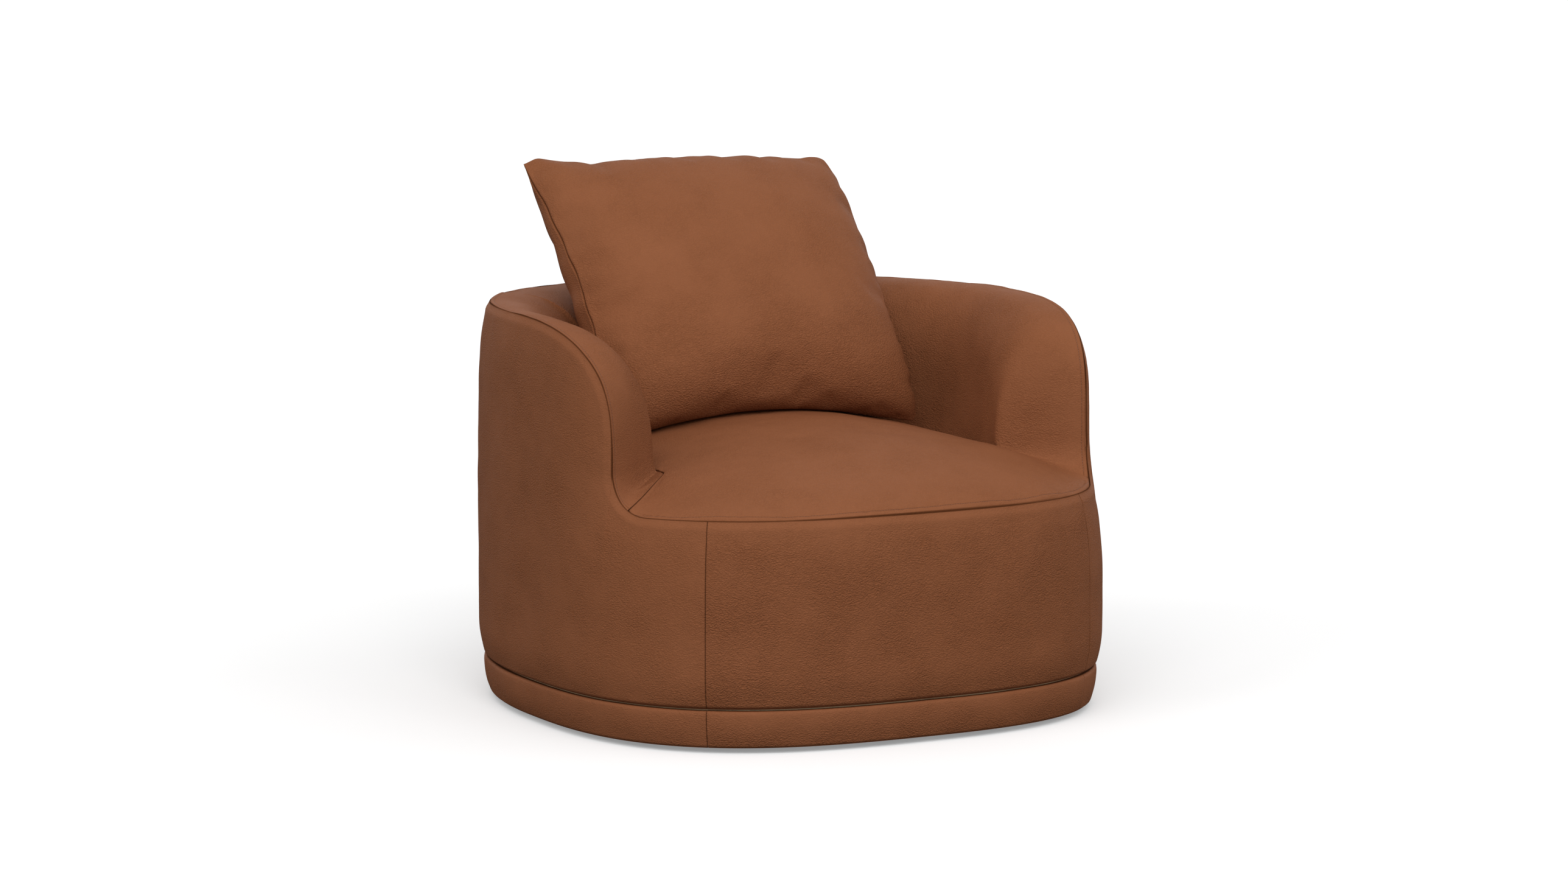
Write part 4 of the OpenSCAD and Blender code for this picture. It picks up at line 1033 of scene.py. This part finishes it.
def puff():
    """How far cloth under pressure moves each panel of the pillow, on an even grid of points."""
    even = np.linspace(-1, 1, PUFF_CELLS + 1)
    u, v = np.meshgrid(even, even)
    count = u.size
    inside = (np.abs(u) < 1) & (np.abs(v) < 1)
    numbers = np.arange(count, dtype=float).reshape(u.shape)
    bm = join_panels([pillow_panel(u, v, side)[0] for side in (1, -1)],
                     [{"held": 1.0 - inside, "cell": numbers + first} for first in (0, count)])
    cell, held = bm.verts.layers.float["cell"], bm.verts.layers.float["held"]
    places = np.array([vert.co for vert in bm.verts])
    order = np.array([round(vert[cell]) for vert in bm.verts])
    pinned = [vert.index for vert in bm.verts if vert[held] > 0.5]
    mesh = mesh_of("puff", bm)
    cloth_object = add_object("puff", mesh)
    cloth_object.vertex_groups.new(name="held").add(pinned, 1.0, "REPLACE")
    cloth = cloth_object.modifiers.new("puff", "CLOTH")
    for key, value in PUFF_SETTINGS.items():
        setattr(cloth.settings, key, value)
    cloth.settings.effector_weights.gravity = 0
    cloth.point_cache.frame_start = 1
    cloth.point_cache.frame_end = PUFF_FRAMES
    for frame_number in range(1, PUFF_FRAMES + 1):
        bpy.context.scene.frame_set(frame_number)
    settled = cloth_object.evaluated_get(bpy.context.evaluated_depsgraph_get()).data
    moves = np.array([vert.co for vert in settled.vertices]) - places
    bpy.context.scene.frame_set(1)
    bpy.data.objects.remove(cloth_object)
    bpy.data.meshes.remove(mesh)
    length = np.maximum(np.linalg.norm(moves, axis=1, keepdims=True), 1e-9)
    moves *= PUFF_CAP * np.tanh(length / PUFF_CAP) / length
    spread = np.zeros((2 * count, 3))
    spread[order] = moves
    return [half.reshape(*u.shape, 3) for half in (spread[:count], spread[count:])]


def resample(values, across, up):
    """Values on an even grid from -1 to 1, read at other columns and rows."""
    even = np.linspace(-1, 1, len(values))
    values = values.swapaxes(0, 1)
    for at in (across, up):
        values = read_along(at, even, values.reshape(len(even), -1)).reshape(len(at), -1, 3).swapaxes(0, 1)
    return values.swapaxes(0, 1)


class ARMCHAIR_OT_pillow(bpy.types.Operator):
    """Loose back pillow with a knife edge, drawn sides and puckers"""
    bl_idname = "armchair.pillow"
    bl_label = "Pillow"

    def execute(self, context):
        s = sizes()
        cell = s.pillow_w / s.pillow_cells
        across = graded(s.pillow_w, cell, spacing=KNIFE_SPACING) / s.pillow_w * 2 - 1
        up = graded(2 * PILLOW_HALF_H, cell, spacing=KNIFE_SPACING) / PILLOW_HALF_H - 1
        u, v = np.meshgrid(across, up)
        moves = [resample(half, across, up) for half in puff()]
        grids, masks = [], []
        for side, move in zip((1, -1), moves):
            grid, from_seam = pillow_panel(u, v, side)
            grid = grid + move
            rest = seat_height(grid[..., 0], grid[..., 1]) + PILLOW_CLEARANCE
            grid[..., 2] = soft_max(grid[..., 2], rest, PILLOW_REST_FILLET)
            drawn = 0.25 + 0.4 * np.exp(-from_seam / 0.05) + 0.9 * smooth(-v * 1.3 + 0.1)
            grids.append(grid)
            # The seam mask is painted shadow along the pillow's knife edge
            masks.append({"drawn": drawn, "seam": seam_shadow(from_seam)})
        bm = join_panels(grids, masks)
        piece = new_piece("pillow", bm, PILLOW, "leather", leather(),
                          "pillow_front_panel", "pillow_rear_panel", "pillow_insert")
        finer = piece.modifiers.new("finer", "SUBSURF")
        finer.levels = finer.render_levels = 1
        return {"FINISHED"}


# Finishes
PEBBLE_SCALE = 270.0
FINE_SCALE = 620.0
LEATHER_DEPTH = 0.0013


class Socket:
    """A shader socket that can be used in sums."""

    def __init__(self, shade, socket):
        self.shade, self.socket = shade, socket

    def _math(self, operation, *values):
        return self.shade.node("Math", {"operation": operation}, *values)

    def __add__(self, other):
        return self._math("ADD", self, other)

    __radd__ = __add__

    def __sub__(self, other):
        return self._math("SUBTRACT", self, other)

    def __rsub__(self, other):
        return self._math("SUBTRACT", other, self)

    def __mul__(self, other):
        return self._math("MULTIPLY", self, other)

    def clamped(self, low, high):
        return self.shade.node("Clamp", {}, self, low, high)


class Shade:
    """A material under construction: node() adds any node and returns its first output."""

    def __init__(self, name, roughness, metallic=0.0, sheen=0.0, specular=0.5):
        self.material = bpy.data.materials.new(name)
        self.material.use_nodes = True
        self.tree = self.material.node_tree
        self.surface = self.tree.nodes["Principled BSDF"]
        self.surface.inputs["Roughness"].default_value = roughness
        self.surface.inputs["Metallic"].default_value = metallic
        self.surface.inputs["Sheen Weight"].default_value = sheen
        self.surface.inputs["Specular IOR Level"].default_value = specular

    def feed(self, socket, value):
        if isinstance(value, Socket):
            self.tree.links.new(value.socket, socket)
        elif isinstance(value, (tuple, list)) and len(value) < len(getattr(socket, "default_value", value)):
            socket.default_value = (*value, 1)
        else:
            socket.default_value = value

    def node(self, kind, settings, *values, output=0, **named):
        made = self.tree.nodes.new("ShaderNode" + kind)
        for key, value in settings.items():
            setattr(made, key, value)
        for socket, value in zip(made.inputs, values):
            self.feed(socket, value)
        for key, value in named.items():
            self.feed(made.inputs[key], value)
        return Socket(self, made.outputs[output])

    def place(self, scale=(1, 1, 1)):
        """Object coordinates, stretched by a scale."""
        at = self.node("TexCoord", {}, output=3)
        return self.node("Mapping", {}, Vector=at, Scale=scale)

    def noise(self, at, scale, detail=3.0, rough=0.5):
        return self.node("TexNoise", {}, Vector=at, Scale=scale, Detail=detail, Roughness=rough)

    def blend(self, share, a, b):
        made = self.tree.nodes.new("ShaderNodeMix")
        made.data_type = "RGBA"
        for number, value in ((0, share), (6, a), (7, b)):
            self.feed(made.inputs[number], value)
        return Socket(self, made.outputs[2])

    def colour(self, value):
        self.feed(self.surface.inputs["Base Color"], value)

    def tones(self, share, colour, darkest):
        """Colours the surface between a colour and a share of that colour."""
        self.colour(self.blend(share, colour, tuple(x * darkest for x in colour)))

    def rough(self, value):
        self.feed(self.surface.inputs["Roughness"], value)

    def relief(self, height, depth):
        """Bump whose height is given in shares of a depth in metres."""
        bump = self.node("Bump", {}, Strength=1.0, Distance=depth, Height=height)
        self.feed(self.surface.inputs["Normal"], bump)


@cache
def leather():
    """Semi-aniline leather: pebbles, drawn grain, soft mottling, and painted shade in the grain's creases and
    in the seams.
    """
    c = colours()
    shade = Shade("cognac_leather", 0.5, specular=0.05)
    drawn = shade.node("Attribute", {"attribute_name": "drawn"}, output=2)
    seam = shade.node("Attribute", {"attribute_name": "seam"}, output=2)
    at = shade.place()
    wander = shade.node("TexNoise", {}, Vector=at, Scale=75.0, Detail=3.0, output=1)
    moved = shade.node("VectorMath", {"operation": "MULTIPLY_ADD"}, wander, (0.011, 0.011, 0.007), at)
    low = shade.node("Mapping", {}, Vector=moved, Scale=(1, 1, 1.7))
    pebble = shade.node(
        "TexVoronoi", {"feature": "SMOOTH_F1"}, Vector=low, Scale=PEBBLE_SCALE, Smoothness=0.35)
    crease = shade.node("TexVoronoi", {"feature": "DISTANCE_TO_EDGE"}, Vector=low, Scale=PEBBLE_SCALE)
    crown = (1.15 - pebble * 1.25).clamped(0.0, 1.0)
    line = (crease * 3.2).clamped(0.0, 1.0)
    fine = shade.node("TexVoronoi", {"feature": "DISTANCE_TO_EDGE"}, Vector=moved, Scale=FINE_SCALE)
    grain = (fine * 3.0).clamped(0.0, 1.0)
    patch = shade.noise(at, 14.0, 2.0)
    pull = (drawn * 0.7 + patch * 1.1 - 0.35).clamped(0.12, 1.0)
    height = crown * pull * 0.75 + line * pull * 0.25 + grain * 0.15 + shade.noise(at, 45.0, 2.0) * 0.3
    shade.relief(height, LEATHER_DEPTH)
    # Painted shade: leather in the grain's creases is darkened as if shade lay there; the same mask also
    # roughens the creases
    grain_creases = (1 - line) * pull * 0.16 + (1 - crown) * pull * 0.25 + (1 - grain) * 0.08
    mottle = shade.noise(at, 5.0, 3.0, 0.6)
    # Real random mottling together with the painted crease shade, between the leather and its dark tone
    tone = (mottle * 0.25 + grain_creases - 0.04).clamped(0.0, 1.0)
    mottled_and_shaded = shade.blend(tone, tuple(c.leather), tuple(c.leather_dark_and_shade))
    # Painted shadow in the seams and the topstitch's groove: the seam mask darkens the leather there towards
    # half its dark tone
    dark = (seam * 1.2 - 0.2).clamped(0.0, 0.9)
    shade.colour(shade.blend(dark, mottled_and_shaded, tuple(x * 0.5 for x in c.leather_dark_and_shade)))
    shade.rough(0.52 + grain_creases * 0.3 + mottle * 0.08 + seam * 0.4)
    return shade.material


@cache
def thread():
    """Waxed thread with a twist."""
    shade = Shade("stitch_thread", 0.55)
    twist = shade.node("TexWave", {"wave_type": "BANDS"}, Vector=shade.place(), Scale=900.0)
    shade.tones(twist, tuple(colours().thread), 0.6)
    shade.relief(twist, 0.0001)
    return shade.material


def timber(name, grain_scale, plies):
    """Birch with its grain, and the plies of plywood where a scale is given for them."""
    shade = Shade(name, 0.6)
    at = shade.place(grain_scale)
    grain = shade.noise(at, 6.0, 8.0, 0.65)
    tone = (grain * 1.6 - 0.4).clamped(0.0, 1.0)
    if plies:
        ply = shade.node("TexWave", {"bands_direction": "Z"}, Vector=shade.place(), Scale=plies)
        tone = (tone * 0.6 + ply * 0.35).clamped(0.0, 1.0)
    shade.tones(tone, tuple(colours().birch), 0.55)
    shade.relief(grain, 0.0003)
    shade.rough(0.5 + grain * 0.2)
    return shade.material


def worked_metal(name, colour, roughness, scale, depth, metallic=1.0):
    shade = Shade(name, roughness, metallic)
    speck = shade.noise(shade.place(), scale, 4.0)
    shade.tones(speck, colour, 0.8)
    shade.rough(roughness + speck * 0.15 - 0.07)
    shade.relief(speck, depth)
    return shade.material


def moulded(name, colour, roughness):
    shade = Shade(name, roughness)
    skin = shade.noise(shade.place(), 900.0, 2.0)
    shade.tones(skin, colour, 0.85)
    shade.rough(roughness + skin * 0.1 - 0.05)
    shade.relief(skin, 0.00005)
    return shade.material


def matted(name, colour, scale, depth):
    """Needled or bonded fibres."""
    shade = Shade(name, 0.95, sheen=0.2)
    fibre = shade.noise(shade.place(), scale, 6.0, 0.7)
    strand = shade.noise(shade.place((6, 1, 1)), scale * 0.5, 4.0, 0.7)
    both = fibre * 0.6 + strand * 0.4
    shade.tones(both, colour, 0.6)
    shade.relief(both, depth)
    return shade.material


def zip_tape():
    shade = Shade("zip_tape", 0.6)
    teeth = shade.node("TexWave", {"bands_direction": "X"}, Vector=shade.place(), Scale=300.0)
    shade.colour(shade.blend(teeth, (0.09, 0.045, 0.025), (0.04, 0.02, 0.012)))
    shade.relief(teeth, 0.0006)
    return shade.material


# Finishes inside the chair: what makes each, with its values, and the nodes that carry it
FRAME_FINISHES = (
    (timber, ("birch_plywood", (3, 18, 40), 110.0),
     ("base_disc", "swivel_board", "plinth_band", "bottom_frame", "seat_deck", "top_rail",
      "side_shell_left", "side_shell_right", "back_shell", "front_former")),
    (timber, ("frame_hardwood", (4, 40, 12), 0),
     ("lower_posts", "front_rail", "back_rail", "side_rails", "upper_posts")),
    (worked_metal, ("coated_steel", (0.035, 0.036, 0.04), 0.45, 700.0, 0.0001, 0.0),
     ("lower_swivel_plate", "upper_swivel_plate")),
    (worked_metal, ("zinc_plate", (0.62, 0.62, 0.60), 0.35, 180.0, 0.00003),
     ("glide_screws", "lower_plate_screws", "king_pin", "pin_washer", "pin_nut", "upper_plate_screws")),
    (worked_metal, ("polished_balls", (0.74, 0.74, 0.76), 0.12, 400.0, 0.000005), ("bearing_balls",)),
    (worked_metal, ("oiled_wire", (0.10, 0.10, 0.11), 0.38, 300.0, 0.00004), ("seat_springs",)),
    (moulded, ("cage_nylon", (0.72, 0.67, 0.52), 0.42), ("ball_cage",)),
    (moulded, ("glide_nylon", (0.03, 0.03, 0.032), 0.5), ("floor_glides", "spring_clips")),
    (matted, ("needled_felt", (0.34, 0.34, 0.32), 300.0, 0.0008), ("spring_pad",)),
    (matted, ("dust_cloth", (0.022, 0.022, 0.024), 500.0, 0.0003), ("dust_cover",)),
    (zip_tape, (), ("pillow_zip",)),
)


class ARMCHAIR_OT_frame_finishes(bpy.types.Operator):
    """Finishes of the timber, steel, nylon and felt inside"""
    bl_idname = "armchair.frame_finishes"
    bl_label = "Frame finishes"

    def execute(self, context):
        for make, values, names in FRAME_FINISHES:
            material = make(*values)
            for name in names:
                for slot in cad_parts[name].material_slots:
                    slot.material = material
        return {"FINISHED"}


# Stage
CAMERA_PLACE = (-3.48873, -6.62716, 1.37590)
CAMERA_TURN = (math.pi / 2 - 0.127, 0, -0.486)
CAMERA_LENS_MM = 105.99
CAMERA_SENSOR_MM = 36
FLOOR_REACH = 60
FLOOR_UNSEEN = (0.13, 0.13, 0.13)
FLOOR_GLOW = 0.26
WORLD_LEVEL = 0.45

# Name of each lamp, its turn in degrees, its strength and its angular size in degrees
LAMPS = (
    ("key", (44, 0, -34), 1.10, 46),
    ("front", (66, 0, -4), 0.90, 60),
    ("right", (60, 0, 50), 0.38, 60),
    ("left", (64, 0, -80), 0.55, 30),
)


class ARMCHAIR_OT_stage(bpy.types.Operator):
    """Pale floor, soft lights and the camera"""
    bl_idname = "armchair.stage"
    bl_label = "Stage"

    def execute(self, context):
        scene = context.scene
        data = bpy.data.cameras.new("camera")
        data.lens = CAMERA_LENS_MM
        data.sensor_width = CAMERA_SENSOR_MM
        camera = add_object("camera", data)
        camera.location = CAMERA_PLACE
        camera.rotation_euler = CAMERA_TURN
        scene.camera = camera
        scene.view_settings.view_transform = "Standard"
        self.floor()
        self.world(scene)
        for name, turn, strength, spread in LAMPS:
            light = bpy.data.lights.new(name, "SUN")
            light.energy = strength
            light.angle = math.radians(spread)
            add_object(name + "_light", light).rotation_euler = [math.radians(x) for x in turn]
        return {"FINISHED"}

    def floor(self):
        """A wide floor that looks white to the camera and is dull to all other rays."""
        bm = bmesh.new()
        bmesh.ops.create_grid(bm, x_segments=1, y_segments=1, size=FLOOR_REACH)
        mesh = mesh_of("floor", bm)
        floor = add_object("floor", mesh)
        shade = Shade("backdrop", 0.9)
        seen = shade.node("LightPath", {})
        shade.colour(shade.blend(seen, FLOOR_UNSEEN, tuple(colours().backdrop)))
        shade.surface.inputs["Emission Strength"].default_value = FLOOR_GLOW
        shade.surface.inputs["Specular IOR Level"].default_value = 0.0
        shade.feed(shade.surface.inputs["Emission Color"], shade.blend(seen, (0, 0, 0), (1, 1, 1)))
        mesh.materials.append(shade.material)

    def world(self, scene):
        """A white world at full strength where it is seen or mirrored, and a lower one as light."""
        world = bpy.data.worlds.new("studio")
        world.use_nodes = True
        scene.world = world
        tree = world.node_tree
        back = tree.nodes["Background"]
        path = tree.nodes.new("ShaderNodeLightPath")
        seen = path.outputs["Is Camera Ray"]
        for other in ("Is Glossy Ray", "Is Transmission Ray"):
            either = tree.nodes.new("ShaderNodeMath")
            either.operation = "MAXIMUM"
            tree.links.new(seen, either.inputs[0])
            tree.links.new(path.outputs[other], either.inputs[1])
            seen = either.outputs[0]
        level = tree.nodes.new("ShaderNodeMapRange")
        level.inputs["To Min"].default_value = WORLD_LEVEL
        level.inputs["To Max"].default_value = 1.0
        tree.links.new(seen, level.inputs["Value"])
        tree.links.new(level.outputs[0], back.inputs["Strength"])
        back.inputs["Color"].default_value = (1, 1, 1, 1)


class ARMCHAIR_PT_panel(bpy.types.Panel):
    """Sizes, colours and pieces of the armchair"""
    bl_label = "Armchair"
    bl_idname = "ARMCHAIR_PT_panel"
    bl_space_type = "VIEW_3D"
    bl_region_type = "UI"
    bl_category = "Armchair"

    def draw(self, context):
        for group in (context.scene.armchair_sizes, context.scene.armchair_colours):
            for name in group.bl_rna.properties.keys():
                if name not in ("rna_type", "name"):
                    self.layout.prop(group, name)
        for operator in OPERATORS:
            self.layout.operator(operator.bl_idname)


OPERATORS = (
    ARMCHAIR_OT_stage,
    ARMCHAIR_OT_frame_finishes,
    ARMCHAIR_OT_seat,
    ARMCHAIR_OT_arm_pads,
    ARMCHAIR_OT_back_pad,
    ARMCHAIR_OT_outside,
    ARMCHAIR_OT_plinth,
    ARMCHAIR_OT_pillow,
)
CLASSES = (ChairSizes, ChairColours, *OPERATORS, ARMCHAIR_PT_panel)


def register():
    for cls in CLASSES:
        bpy.utils.register_class(cls)
    bpy.types.Scene.armchair_sizes = PointerProperty(type=ChairSizes)
    bpy.types.Scene.armchair_colours = PointerProperty(type=ChairColours)


def unregister():
    del bpy.types.Scene.armchair_colours
    del bpy.types.Scene.armchair_sizes
    for cls in reversed(CLASSES):
        bpy.utils.unregister_class(cls)


def main():
    register()
    for operator in OPERATORS:
        group, name = operator.bl_idname.split(".")
        getattr(getattr(bpy.ops, group), name)()


if __name__ == "__main__":
    main()
